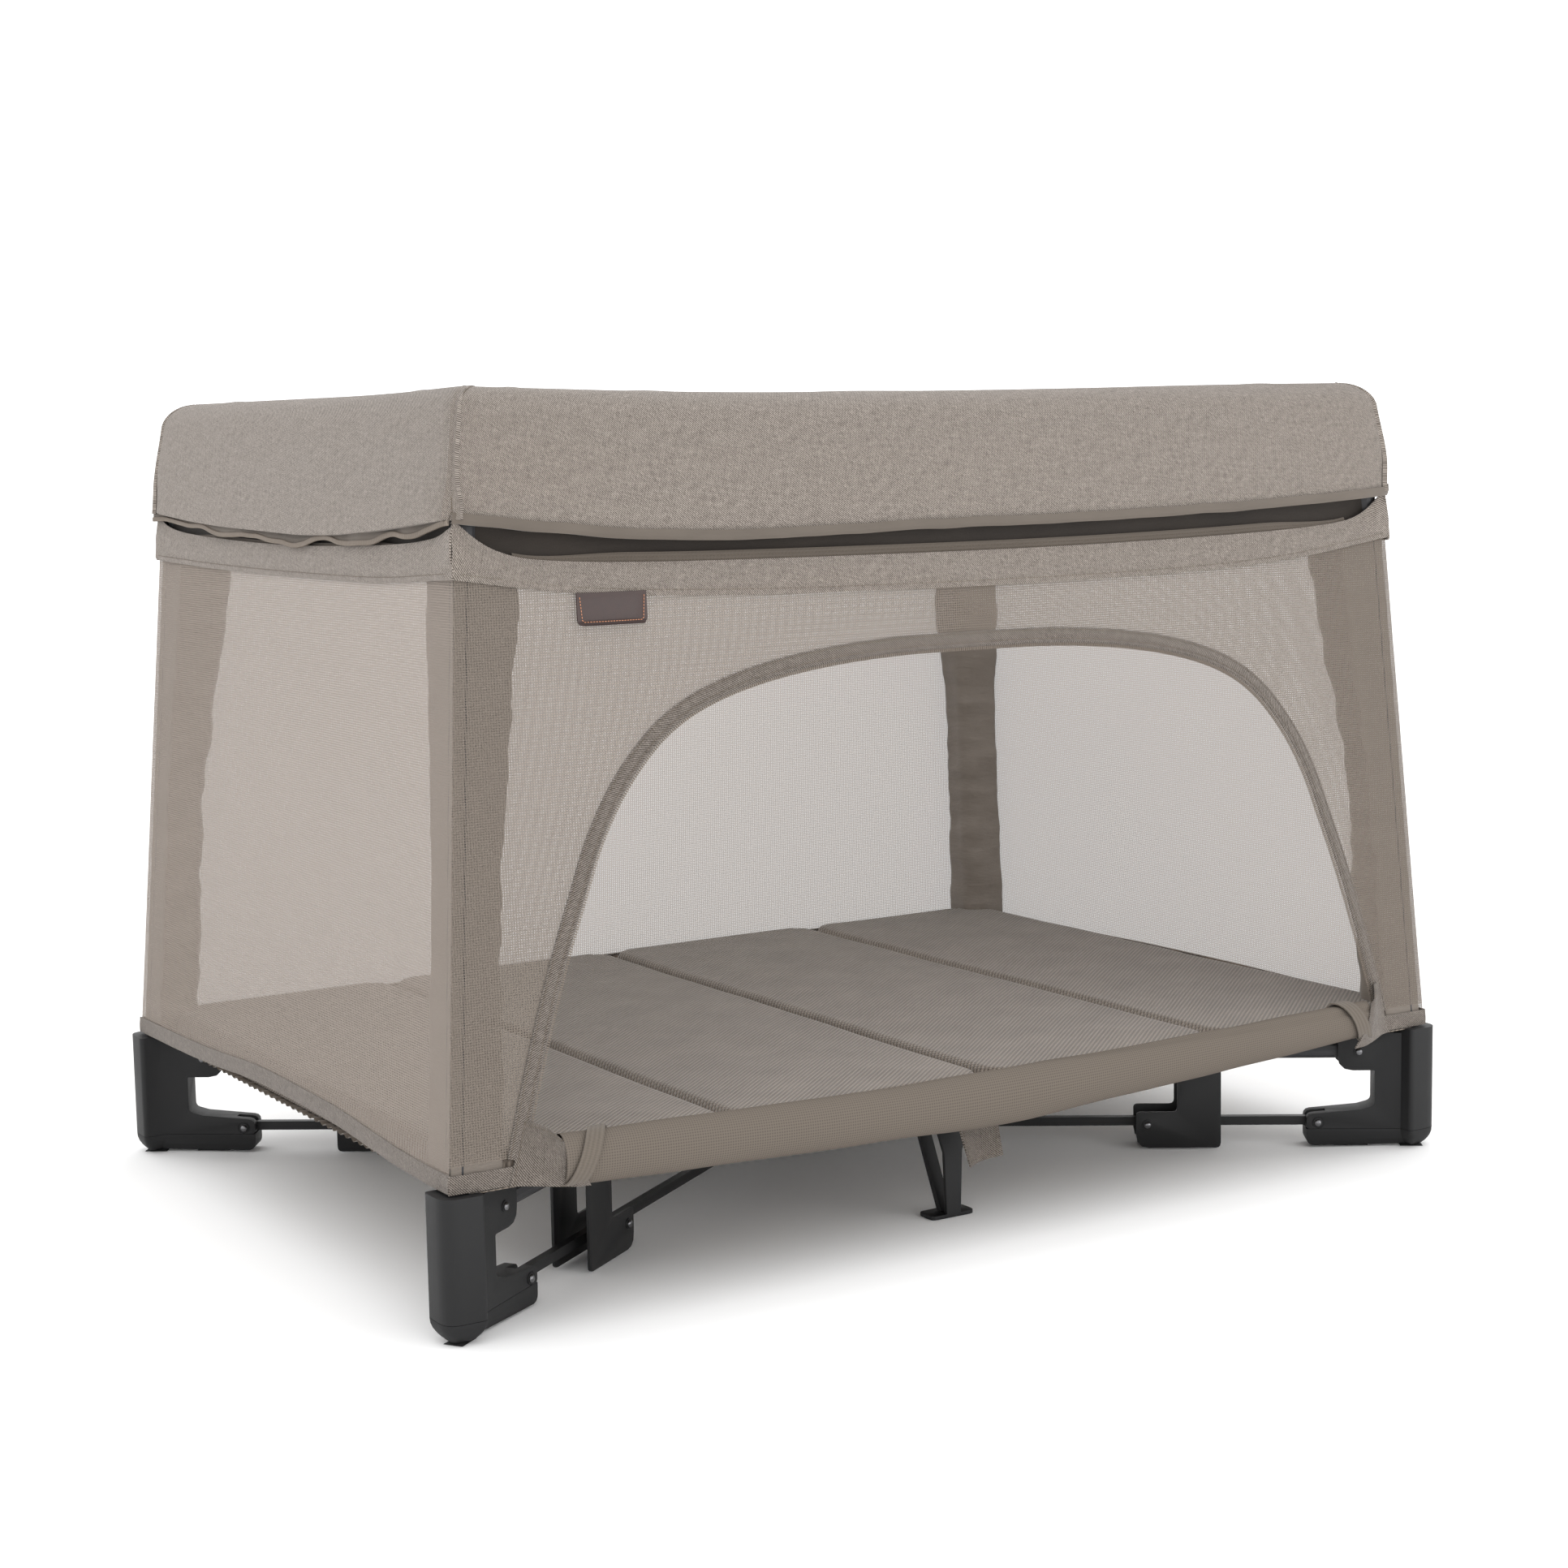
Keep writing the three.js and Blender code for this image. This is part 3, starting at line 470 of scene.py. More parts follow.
paints = {
    "coverTwill": twillPaint("cover twill", tone(184, 174, 165), tone(64, 56, 49), 0.0023),
    "bandTwill": twillPaint("band twill", tone(182, 172, 163), tone(62, 54, 47), 0.0022),
    "hemTwill": twillPaint("hem twill", tone(152, 143, 135), tone(55, 48, 42), 0.0022),
    "bindingCloth": satinPaint("binding cloth", tone(104, 95, 86), tone(84, 76, 68), 0.75, 0.0002),
    # the dark sheet inside the band: its colour is painted shade
    "lining": satinPaint("lining", tone(48, 40, 33), tone(30, 24, 19), 0.8, 0.0005),
    "floorCloth": satinPaint("floor cloth", tone(110, 96, 80), tone(74, 63, 51), 0.55, 0.0012),
    "sleeve": satinPaint("sleeve satin", tone(136, 127, 118), tone(106, 97, 88), 0.6, 0.0012),
    "wallMesh": meshPaint(
        "wall mesh", tone(156, 146, 137), tone(138, 128, 120), (0.0026, 0.0021), 0.2, 0.8
    ),
    # the back and right walls' copy of the wall mesh, tinted warmer as painted light for the dim light
    # inside
    "farMeshPaintedLight": meshPaint(
        "far wall mesh painted light", tone(154, 139, 125), tone(140, 124, 110), (0.0026, 0.0021), 0.2, 0.3
    ),
    # the front wall's copy of the wall mesh: its darker threads are painted shade
    "frontMeshPaintedShade": meshPaint(
        "front mesh painted shade", tone(132, 123, 114), tone(108, 99, 91), (0.0024, 0.0021), 0.14, 1.05
    ),
    # the rolled door panel: solid mesh with its holes in painted shade
    "rollMesh": meshPaint("roll mesh", tone(109, 101, 93), tone(88, 81, 74), (0.0024, 0.0012), 0, 0, True),
    "knit": knitPaint("ribbed knit", tone(146, 135, 124), tone(78, 69, 61), 0.0040),
    "webbing": webPaint("webbing", tone(116, 107, 97), tone(84, 76, 68)),
    "thread": plasticPaint("thread", tone(104, 94, 83), 0.8),
    "zipTape": webPaint("zip tape", tone(104, 95, 86), tone(78, 70, 62)),
    "zipTeeth": plasticPaint("zip teeth", tone(118, 108, 98), 0.4),
    "copperThread": plasticPaint("copper thread", tone(190, 132, 100), 0.6),
    "leather": leatherPaint("brown leather", tone(64, 48, 45)),
    "charcoal": plasticPaint("charcoal plastic", tone(21, 21, 22), 0.55, 2200, 0.00015),
    "sole": plasticPaint("sole rubber", tone(21, 21, 22), 0.62, 1500, 0.0002),
    "steel": plasticPaint("black steel", tone(19, 19, 20), 0.45, 2600, 0.00008),
    "tube": plasticPaint("frame tube", tone(48, 48, 50), 0.4, 2600, 0.00006),
    "latch": plasticPaint("latch plastic", tone(70, 69, 68), 0.55),
    "button": plasticPaint("button plastic", tone(100, 95, 90), 0.5),
    "rivet": metalPaint("rivet", tone(120, 120, 122), 0.22),
}
print("materials made")

# the view and the light
view = {"place": (-1.4008, -2.28413, 0.70898), "yaw": -31.83, "pitch": -7.08, "roll": -1.04, "lens": 61.14}


def makeCamera():
    yaw, pitch, roll = (math.radians(view[k]) for k in ("yaw", "pitch", "roll"))
    level = Vector((-math.sin(yaw), math.cos(yaw), 0))
    right = Vector((math.cos(yaw), math.sin(yaw), 0))
    ahead = math.cos(pitch) * level + math.sin(pitch) * Vector((0, 0, 1))
    up = -math.sin(pitch) * level + math.cos(pitch) * Vector((0, 0, 1))
    c, s = math.cos(roll), math.sin(roll)
    sideways, upward = c * right + s * up, -s * right + c * up
    bpy.ops.object.camera_add(location=view["place"])
    camera = bpy.context.object
    turn = Matrix((sideways, upward, -ahead)).transposed()
    camera.rotation_euler = turn.to_euler()
    camera.data.lens = view["lens"]
    camera.data.sensor_width = 36
    camera.data.dof.use_dof = False
    scene.camera = camera


def makeLight(name, spot, target, size, power):
    bpy.ops.object.light_add(type="AREA", location=spot)
    lamp = bpy.context.object
    lamp.name = name
    lamp.data.shape = "RECTANGLE"
    lamp.data.size, lamp.data.size_y = size
    lamp.data.energy = power
    lamp.rotation_euler = (Vector(target) - Vector(spot)).to_track_quat("-Z", "Y").to_euler()


lights = [
    ("top softbox", (0.2, -0.2, 3.4), (0, 0, 0.3), (3.2, 2.4), 5),
    ("front softbox", (1.0, -3.6, 0.75), (0, 0, 0.05), (3.0, 1.2), 18),
    ("left softbox", (-3.4, -0.6, 1.2), (0, 0, 0.2), (1.6, 1.4), 2),
]
makeCamera()
for light in lights:
    makeLight(*light)
world = bpy.data.worlds.new("studio")
scene.world = world
world.use_nodes = True
background = world.node_tree.nodes["Background"]
background.inputs["Color"].default_value = (1, 1, 1, 1)
background.inputs["Strength"].default_value = 1.5
scene.view_settings.view_transform = "Standard"

deselect()
bpy.ops.mesh.primitive_plane_add(size=60, location=(0, 0, -0.0005))
floor = bpy.context.object
floorPaint = Paint("pale floor", roughness=0.9, specular=0.1)
floorPaint.shader.inputs["Base Color"].default_value = (0.97, 0.97, 0.97, 1)
finishPiece(floor, "floor", floorPaint.material)
print("camera, lights and floor made")

# the door arch: half widths and heights of its outer edge, in millimetres
door = {
    "edge": [
        (486, 146), (479, 173), (460, 237), (437, 306), (416, 358), (400, 400), (371, 448), (329, 492),
        (276, 519), (201, 537), (105, 547), (0, 548)
    ],
    "trim": 14 * mm,
    "sill": 0.146,
}


def archPath():
    half = [(-x, z) for x, z in door["edge"]]
    return np.array(cutCorners(half + [(-x, z) for x, z in reversed(half[:-1])])) * mm


arch = archPath()
archSteps = np.linalg.norm(np.diff(arch, axis=0), axis=1)
archRun = np.concatenate([[0], np.cumsum(archSteps)])
archLength = float(archRun[-1])


def archPoint(u, inset=0.0):
    at = u * archLength
    x, z = np.interp(at, archRun, arch[:, 0]), np.interp(at, archRun, arch[:, 1])
    a, b = max(at - 0.004, 0), min(at + 0.004, archLength)
    dx = np.interp(b, archRun, arch[:, 0]) - np.interp(a, archRun, arch[:, 0])
    dz = np.interp(b, archRun, arch[:, 1]) - np.interp(a, archRun, arch[:, 1])
    span = math.hypot(dx, dz)
    return x + dz / span * inset, z - dx / span * inset


# mesh walls
wall = {"foot": 0.13, "top": 0.6185, "pull": 5 * mm}
hemLine = softLine(
    (-380, 126.5), (-326, 126), (-268, 127.8), (-206, 131.8), (-142, 136), (-75, 137), (0, 137.6),
    (69, 137), (146, 131.5), (228, 128.5), (314, 127), (380, 126.5)
)


def hemHeight(side, s):
    if side == "front":
        return 0.1255
    if side == "left":
        return hemLine(-s)
    return 0.1262 + (hemLine(s * (1 if side == "right" else 0.7)) - 0.1262) * 0.3


def wallPull(side, s, z):
    # taut cloth bows in a little between the posts, with slack near the corners
    t = s / halfWidth(side, z)
    rise = (z - wall["foot"]) / (wall["top"] - wall["foot"])
    bow = wall["pull"] * (1 - t * t) * math.sin(math.pi * min(max(rise, 0), 1))
    slack = ripple(s, z * 0.6, 3.1, 0.11) * 0.0006 + ripple(s + z, z - s, 7.7, 0.05) * 0.0001
    return -bow + slack


def plainWall(side):
    def at(u, v):
        t = 2 * u - 1
        low = hemHeight(side, t * halfWidth(side, wall["foot"]))
        z = low + (wall["top"] - low) * v
        s = t * halfWidth(side, z)
        return onSide(side, s, z, wallPull(side, s, z))
    # the left wall takes the plain mesh, the back and right walls the copy with painted light
    return cloth(
        "mesh_wall_" + side, (72, 40), at, paints["wallMesh" if side == "left" else "farMeshPaintedLight"],
        uv="xz" if side == "back" else "yz"
    )


def doorWall(u, v):
    px, pz = archPoint(u)
    dx, dz = px, max(pz - door["sill"], 0)
    span = math.hypot(dx, dz)
    dx, dz = dx / span, dz / span
    toSide = (wallX(door["sill"])) / (abs(dx) + wallShape["leanX"] * dz)
    toTop = (wall["top"] - door["sill"]) / dz if dz > 1e-6 else 9
    reach = min(toSide, toTop)
    qx, qz = dx * reach, door["sill"] + dz * reach
    x, z = px + (qx - px) * v, pz + (qz - pz) * v
    return onSide("front", x, z, wallPull("front", x, z) * smooth(v * 4 + 0.15))


walls = {side: plainWall(side) for side in ("back", "left", "right")}
# the front wall takes the mesh copy with painted shade
walls["front"] = cloth("mesh_wall_front", (200, 22), doorWall, paints["frontMeshPaintedShade"], uv="xz")
for side, piece in walls.items():
    hang(piece, side)
    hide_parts("wall_" + side)
print("mesh walls made")

# corner sleeves: satin tubes round the posts, just inside the mesh
sleeve = {
    "low": 0.128, "high": 0.627, "bottom": 46 * mm, "middle": 43 * mm, "top": 56 * mm, "round": 20 * mm,
    "clear": 2.6 * mm
}


def sleeveTube(corner):
    sx, sy = corners[corner]
    seed = 10 * (sx + 2) + 3 * (sy + 2)

    def at(u, v):
        z = sleeve["low"] + (sleeve["high"] - sleeve["low"]) * v
        width = sleeve["middle"] + (
            sleeve["bottom"] - sleeve["middle"]
        ) * (1 - smooth(v * 2.2)) + (sleeve["top"] - sleeve["middle"]) * smooth(v * 2 - 0.9)
        width += ripple(z, seed, 0, 0.05) * 0.0035 + ripple(z, seed, 4, 0.017) * 0.0012
        r = sleeve["round"]
        # once round the section, from the outer corner
        flat = width - r
        arc = r * math.pi / 2
        total = 2 * width + 2 * flat + arc
        d = u * total
        if d < width:
            a, b, na, nb = d, 0, 0, 0
        elif d < width + flat:
            a, b, na, nb = width, d - width, 1, 0
        elif d < width + flat + arc:
            turn = (d - width - flat) / r
            a, b = flat + r * math.cos(turn), flat + r * math.sin(turn)
            na, nb = math.cos(turn), math.sin(turn)
        elif d < width + 2 * flat + arc:
            a, b, na, nb = flat - (d - width - flat - arc), width, 0, 1
        else:
            a, b, na, nb = 0, width - (d - width - 2 * flat - arc), 0, 0
        crinkle = ripple(
            a * 0.5, z, seed + b * 0.5, 0.016
        ) * 0.0016 + ripple(a, z * 1.6, seed - b, 0.045) * 0.003
        a, b = a + na * crinkle, b + nb * crinkle
        return (sx * (wallX(z) - sleeve["clear"] - a), sy * (wallY(z) - sleeve["clear"] - b), z)

    piece = cloth("corner_sleeve_" + corner, (56, 110), at, paints["sleeve"], uv=(0.2, 0.5), weld=True)
    if sx * sy < 0:
        editAll(piece, bpy.ops.mesh.flip_normals)
    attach(piece, "corner_" + corner)
    return piece


for corner in corners:
    sleeveTube(corner)
print("sleeves made")

# twill hem round the bottom, the band under the cover, and a dark sheet inside it, coloured as painted
# shade for the gap under the cover
hem = {"height": 15 * mm, "thick": 1.6 * mm}
band = {"thick": 1.8 * mm, "tape": 8 * mm}
bandLow = {
    "front": softLine(
        (-515, 614.5), (-507, 614), (-462, 607), (-390, 597), (-251, 590.5), (-103, 588.5), (2, 588),
        (188, 589), (338, 594), (440, 606), (506, 616), (515, 616)
    ),
    "left": softLine(
        (-372, 613), (-347, 612.8), (-202, 608.5), (-52, 606.6), (84, 606), (225, 606.5), (347, 614),
        (372, 614)
    ),
}
bandLow["back"] = bandLow["front"]
bandLow["right"] = bandLow["left"]
bandHigh = {
    "front": softLine(
        (-515, 666), (-502, 657), (-488, 645), (-465, 633), (-430, 626), (-330, 621.5), (-150, 620),
        (100, 620), (330, 625), (440, 631), (475, 639), (500, 656), (515, 666)
    ),
    "left": softLine(
        (-372, 666), (-345, 652), (-300, 643), (-200, 638), (0, 634), (200, 638), (300, 643), (345, 652),
        (372, 666)
    ),
}
bandHigh["back"] = bandHigh["front"]
bandHigh["right"] = bandHigh["left"]


def hemStrip(name, side, start, end):
    def at(u, v):
        reach = halfWidth(side, wall["foot"]) + 0.0014
        s = (start + (end - start) * u) * reach
        z = hemHeight(side, s) - 0.0012 + hem["height"] * v
        roll = math.sin(math.pi * v) * 0.0006
        return onSide(side, s, z, 0.0014 + roll + wallPull(side, s, z) + ripple(s, z, 1, 0.03) * 0.0005)
    length = abs(end - start) * halfWidth(side, wall["foot"])
    cells = (max(12, int(length / 0.009)), 6)
    piece = cloth(name, cells, at, paints["hemTwill"], uv=(length, hem["height"]), thick=hem["thick"])
    return hang(piece, side)


hemStrip("hem_front_left", "front", -1, -0.885)
hemStrip("hem_front_right", "front", 0.885, 1)
for side in ("left", "back", "right"):
    hemStrip("hem_" + side, side, -1, 1)


def bandStrip(side):
    half = halfWidth(side, 0.61)
    long = side in ("front", "back")

    def crease(s, z, reach):
        # small folds, stronger near the corners
        nearCorner = smooth(1 - (reach - abs(s)) / 0.07)
        return ripple(s * 1.2, z * 2, 5, 0.03) * 0.002 * (0.35 + nearCorner)

    def at(u, v):
        reach = half + 0.003
        s = (2 * u - 1) * reach
        low, high = bandLow[side](s), bandHigh[side](s)
        z = low + (high - low) * v
        belly = math.sin(math.pi * v) * 0.0016
        hemRoll = 0.0009 * math.exp(-((z - low - 0.003) / 0.0028) ** 2)
        out = 0.0022 + belly + hemRoll + crease(s, z, reach) + wallPull(side, s, z) * 0.5
        return onSide(side, s * halfWidth(side, z) / half, z, out)
    piece = cloth(
        "band_" + side, (130, 16), at, paints["bandTwill"], uv=(1.02 if long else 0.7, 0.04),
        thick=band["thick"]
    )
    hang(piece, side)

    def seam(lift, edge):
        path = []
        for i in range(131):
            s = (2 * i / 130 - 1) * (half - 0.006)
            z = edge(s) + lift
            v = (z - bandLow[side](s)) / (bandHigh[side](s) - bandLow[side](s))
            belly = math.sin(math.pi * min(max(v, 0), 1)) * 0.0016
            out = 0.0022 + belly + 0.0003 + crease(s, z, half) + wallPull(side, s, z) * 0.5
            path.append(onSide(side, s, z, out + (0.0009 if v < 0.2 else 0)))
        return path
    outward = Vector(onSide(side, 0, 0.6, 1)) - Vector(onSide(side, 0, 0.6, 0))
    stitches = strew(
        "band_stitches_" + side, seam(0.0052, bandLow[side]), outward, 0.0034, (0.0024, 0.0005, 0.0004),
        paints["thread"]
    )
    hang(stitches, side)

    def tapeAt(u, v):
        s = (2 * u - 1) * (halfWidth(side, 0.63) - 0.052)
        z = bandHigh[side](s) - 0.002 + (band["tape"] * (0.3 if side == "left" else 1) + 0.002) * v
        lean = smooth((abs(s) - halfWidth(side, 0.63) + 0.16) / 0.1) * 0.005
        return onSide(side, s, z - lean * v, 0.0004 - 0.002 * v + ripple(s, z, 9, 0.05) * 0.0012)
    tape = cloth(
        "band_tape_" + side, (120, 4), tapeAt, paints["zipTape"], uv=(0.98 if long else 0.66, 0.013),
        thick=0.0009
    )
    hang(tape, side)
    paths = [[tapeAt(i / 120, v) for i in range(121)] for v in (0.3, 0.6)]
    rows = stitchRows("band_tape_stitches_" + side, paths, outward, 0.0034, (0.0022, 0.0004, 0.0006))
    hang(rows, side)

    # a dark sheet behind the band, its colour painted shade for the gap between the band and the cover
    def liningAt(u, v):
        s = (2 * u - 1) * (halfWidth(side, 0.66) - 0.003)
        z = 0.615 + 0.115 * v
        return onSide(
            side, s, z, -0.003 - 0.003 * smooth((z - 0.618) / 0.02) + ripple(s, z, 2, 0.04) * 0.0008
        )
    lining = cloth("lining_" + side, (60, 8), liningAt, paints["lining"], uv=(1, 0.115))
    hang(lining, side)


for side in gather:
    bandStrip(side)
print("hems and bands made")

# the padded top cover, in halves from the middle of each side to its corners; the halves are not bent
cover = {
    "flare": 10.5 * mm, "proud": 4 * mm, "inner": -37 * mm, "outerRound": 25 * mm, "innerRound": 15 * mm,
    "innerLow": 0.686, "thick": 4.5 * mm, "hingeLong": 0.4534, "hingeShort": 0.3085, "bend": 26 * mm
}
coverLow = {
    "front": softLine(
        (-520, 662), (-504, 661), (-438, 652), (-327, 641), (-208, 639), (-83, 643), (95, 643.5),
        (289, 648), (435, 655), (516, 660), (525, 661)
    ),
    "left": softLine(
        (-380, 663), (-372, 663), (-205, 651), (-54, 647), (82, 644), (222, 651), (344, 661), (365, 662)
    ),
}
coverLow["back"] = coverLow["front"]
coverLow["right"] = coverLow["left"]
coverTop = {
    "front": softLine(
        (-520, 768), (-493, 768), (-467, 766.6), (-395, 764.5), (-242, 760.9), (-77, 761.5), (101, 763),
        (294, 766.5), (461, 768), (520, 768)
    ),
    "left": softLine((-372, 768), (-286, 768), (-22, 766), (163, 764.7), (346, 768), (372, 768)),
}
coverTop["back"] = coverTop["front"]
coverTop["right"] = coverTop["left"]


def coverSection(side, s, p):
    # one point of the cover's section: how far out of the wall's plane, and how high
    low, top = coverLow[side](s), coverTop[side](s)
    r1, r2 = cover["outerRound"], cover["innerRound"]
    inner = cover["inner"]
    foot, head = cover["flare"], cover["proud"]
    parts = [
        top - r1 - low, r1 * math.pi / 2, head - r1 - inner - r2, r2 * math.pi / 2,
        top - r2 - cover["innerLow"]
    ]
    d = p * sum(parts)
    if d < parts[0]:
        t = d / parts[0]
        return foot + (head - foot) * (1 - (1 - t) ** 1.3) + math.sin(math.pi * t) * 0.0012, low + d
    d -= parts[0]
    if d < parts[1]:
        turn = d / r1
        return head - r1 + r1 * math.cos(turn), top - r1 + r1 * math.sin(turn)
    d -= parts[1]
    if d < parts[2]:
        return head - r1 - d, top + math.sin(math.pi * d / parts[2]) * 0.0006
    d -= parts[2]
    if d < parts[3]:
        turn = d / r2
        return inner + r2 - r2 * math.sin(turn), top - r2 + r2 * math.cos(turn)
    d -= parts[3]
    return inner + math.sin(math.pi * min(d / parts[4], 1)) * -0.002, top - r2 - d


def coverPoint(side, s, p):
    out, z = coverSection(side, s, p)
    edge = halfWidth(side, z) + out
    toCorner = edge - abs(s)
    # the pad rolls in at the corner seam and swells softly elsewhere
    seamPinch = (0.0042 + 0.004 * smooth(1 - p * 6)) * math.exp(-(max(toCorner, 0) / 0.008) ** 1.3)
    pinch = seamPinch + 0.0035 * smooth(1 - p * 4) * smooth(1 - toCorner / 0.05)
    swell = ripple(s, z * 0.7, p * 0.2 + 2, 0.16) * 0.0016 + ripple(s * 0.8, z, p, 0.05) * 0.0006
    swell *= smooth(toCorner / 0.05 + 0.1)
    out = out + (swell - pinch if p < 0.62 else pinch * 0.3 - swell * 0.4)
    return out, z, edge


halfLength = {"long": 0.51, "short": 0.36}


def coverHalf(side, way, corner, rail):
    def at(u, v):
        out, z = coverSection(side, 0, v)
        reach = halfWidth(side, z) + out
        share = 1 - (1 - u) ** 1.15
        s = way * reach * share
        for _ in range(3):
            out, z, _edge = coverPoint(side, s, v)
            s = way * (halfWidth(side, z) + coverSection(side, s, v)[0]) * share
        return onSide(side, s, z, out)
    # the grid runs left to right seen from outside, so its faces point out
    def run(u, v):
        return at(u if way > 0 else 1 - u, v)
    piece = cloth(
        "cover_" + side + "_" + corner, (96 if rail == "long" else 70, 44), run, paints["coverTwill"],
        uv=(halfLength[rail], 0.29), thick=cover["thick"], angle=50
    )
    return piece


def coverTrim(side, way, corner, rail):
    # the plain binding along the bottom edge
    def at(u, v):
        share = u if way > 0 else 1 - u
        reach = halfWidth(side, 0.65) + cover["flare"]
        s = way * reach * share * 0.985
        low = coverLow[side](s)
        out, z, _ = coverPoint(side, s, 0.0)
        wave = ripple(s, 0, 1, 0.035) * 0.0008
        if v < 0.7:
            t = v / 0.7
            return onSide(side, s, low + 0.0068 * (1 - t) + wave, out + 0.0011)
        t = (v - 0.7) / 0.3
        return onSide(side, s, low - 0.0012 + wave, out + 0.0011 - 0.007 * t)
    piece = cloth(
        "cover_binding_" + side + "_" + corner, (90, 8), at, paints["bindingCloth"],
        uv=(halfLength[rail], 0.014), thick=0.0009
    )
    faceOut(piece)
    return piece


def bendAtHinge(piece, side, way, rail):
    hinge = cover["hingeLong"] if rail == "long" else cover["hingeShort"]
    start = Vector(onSide(side, way * (hinge + cover["bend"]), 0.7))
    end = Vector(onSide(side, way * (hinge - cover["bend"]), 0.7))
    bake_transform(piece)


def cornerStitches(side, way, corner):
    def row(back, lift):
        path = []
        for i in range(60):
            p = 0.02 + 0.56 * i / 59
            edge = coverPoint(side, way * (halfWidth(side, 0.7) - 0.01), p)[2]
            s = way * (edge - back)
            out, z, _edge = coverPoint(side, s, p)
            path.append(onSide(side, s, z, out + lift))
        return path
    outward = Vector(onSide(side, 0, 0.7, 1)) - Vector(onSide(side, 0, 0.7, 0)) + Vector((0, 0, 0.35))
    return strew(
        "cover_stitches_" + side + "_" + corner, row(0.0062, 0.0002), outward, 0.0036,
        (0.0026, 0.0006, 0.0005), paints["thread"]
    )


for side, pair in halves.items():
    for way, corner, rail in pair:
        piece = coverHalf(side, way, corner, rail)
        bendAtHinge(piece, side, way, rail)
        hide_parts("rail_cover")
        if side != "left":
            trim = coverTrim(side, way, corner, rail)
            bendAtHinge(trim, side, way, rail)
        seam = cornerStitches(side, way, corner)
        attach(seam, "corner_" + corner)
print("top cover made")

# the cover's zip hangs open along the left side
zipper = {"drop": 6.5 * mm, "wave": 5 * mm}
for way, corner, rail in halves["left"]:
    def tapeAt(u, v):
        share = u if way > 0 else 1 - u
        s = way * 0.351 * share
        low = coverLow["left"](s)
        wave = ripple(s, 0, 6, 0.045) * zipper["wave"] * (0.3 + v)
        drop = zipper["drop"] * (1 + ripple(s, 3, 0, 0.07) * 0.5)
        out = cover["flare"] - 0.004 - 0.002 * v + wave
        return onSide(
            "left", s, low + 0.004 - (drop + 0.004) * (1 - v) + ripple(s, 8, 2, 0.045) * 0.006 * (1 - v),
            out
        )
    tape = cloth(
        "cover_zip_tape_" + corner, (80, 6), tapeAt, paints["zipTape"], uv=(0.37, 0.014), thick=0.0009
    )
    bendAtHinge(tape, "left", way, rail)
    teeth = strew(
        "cover_zip_teeth_" + corner, [tapeAt(i / 160, 0.06) for i in range(161)], (-1, 0, 0), 0.0024,
        (0.0014, 0.0044, 0.003), paints["zipTeeth"]
    )
    bendAtHinge(teeth, "left", way, rail)
print("zip made")

# the door's twill edge, its zip and its stitches
def trimAt(u, v):
    x, z = archPoint(u, door["trim"] * (1 - v) - 0.0008)
    pull = wallPull("front", x, z) * 0.15
    roll = math.sin(math.pi * v) * 0.0012 + (0.0016 * math.exp(-((v - 0.1) / 0.09) ** 2))
    return onSide("front", x, z, 0.0018 + roll + pull + ripple(x, z, 2, 0.02) * 0.0003)


trim = cloth("door_trim", (280, 8), trimAt, paints["hemTwill"], uv=(archLength, door["trim"]), thick=0.0022)
hang(trim, "front")
trimPaths = [inFront([trimAt(i / 400, v) for i in range(401)], 0.0003) for v in (0.3, 0.86)]
trimRows = stitchRows("door_trim_stitches", trimPaths, (0, -1, 0), 0.0034, (0.0024, 0.0005, 0.0005))
hang(trimRows, "front")
zipPath = [onSide("front", *archPoint(i / 600, door["trim"] + 0.0006), 0.0008) for i in range(601)]
teeth = strew("door_zip_teeth", zipPath, (0, -1, 0), 0.0021, (0.0012, 0.0034, 0.002), paints["zipTeeth"])
hang(teeth, "front")
print("door edge made")

# the door panel, rolled down along the sill
roll = {"half": 0.446, "y": -0.3895, "turns": 5.2, "core": 0.3, "deep": 14.5 * mm, "tall": 22 * mm}
rollTop = softLine(
    (-437, 163), (-423, 162), (-329, 161), (-160, 155), (24, 155.5), (251, 157), (400, 161), (437, 162)
)
rollLow = softLine(
    (-437, 121), (-424, 119), (-330, 114), (-125, 108), (-16, 104), (99, 108), (250, 116), (396, 124),
    (437, 126)
)


def rollAt(u, v):
    x = (2 * u - 1) * roll["half"]
    turn = v * roll["turns"] * 2 * math.pi
    grow = roll["core"] + (1 - roll["core"]) * min(v / 0.83, 1) + 0.015 * (v - 1)
    top, low = rollTop(x), rollLow(x)
    tall, middle = (top - low) / 2, (top + low) / 2
    sag = 1 - 0.12 * (x / roll["half"]) ** 4
    deep = roll["deep"] * sag
    crease = ripple(x * 0.22, math.cos(turn) * 0.02, math.sin(turn) * 0.02, 0.011) * 0.0002 * v
    crease += ripple(x, turn * 0.004, 0, 0.09) * 0.0018 * v
    crease -= 0.0022 * v * math.exp(-(((turn % (2 * math.pi)) - 2.6 - 1.1 * x / roll["half"]) / 0.16) ** 2)
    a = -turn - 1.9
    y = roll["y"] - math.cos(a) * (deep * grow + crease)
    z = middle + math.sin(a) * (tall * grow + crease)
    return (x, y, z)


panel = cloth("door_panel_roll", (110, 170), rollAt, paints["rollMesh"], uv=(2 * roll["half"], 0.36))
hang(panel, "front")
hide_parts("door_roll")


def strapAt(x0, lean):
    def at(u, v):
        turn = math.radians(-75 + 190 * u)
        x = x0 + lean * (0.5 - u) * 0.034 + (v - 0.5) * 0.017
        top, low = rollTop(x), rollLow(x)
        tuck = 0.0024 - 0.0034 * max(smooth(1 - u * 9), smooth(1 - (1 - u) * 9))
        tall, middle = (top - low) / 2 + tuck, (top + low) / 2
        y = roll["y"] - math.cos(turn) * (roll["deep"] * (1 - 0.12 * (x / roll["half"]) ** 4) + tuck)
        return (x, y, middle + math.sin(turn) * tall)
    return at


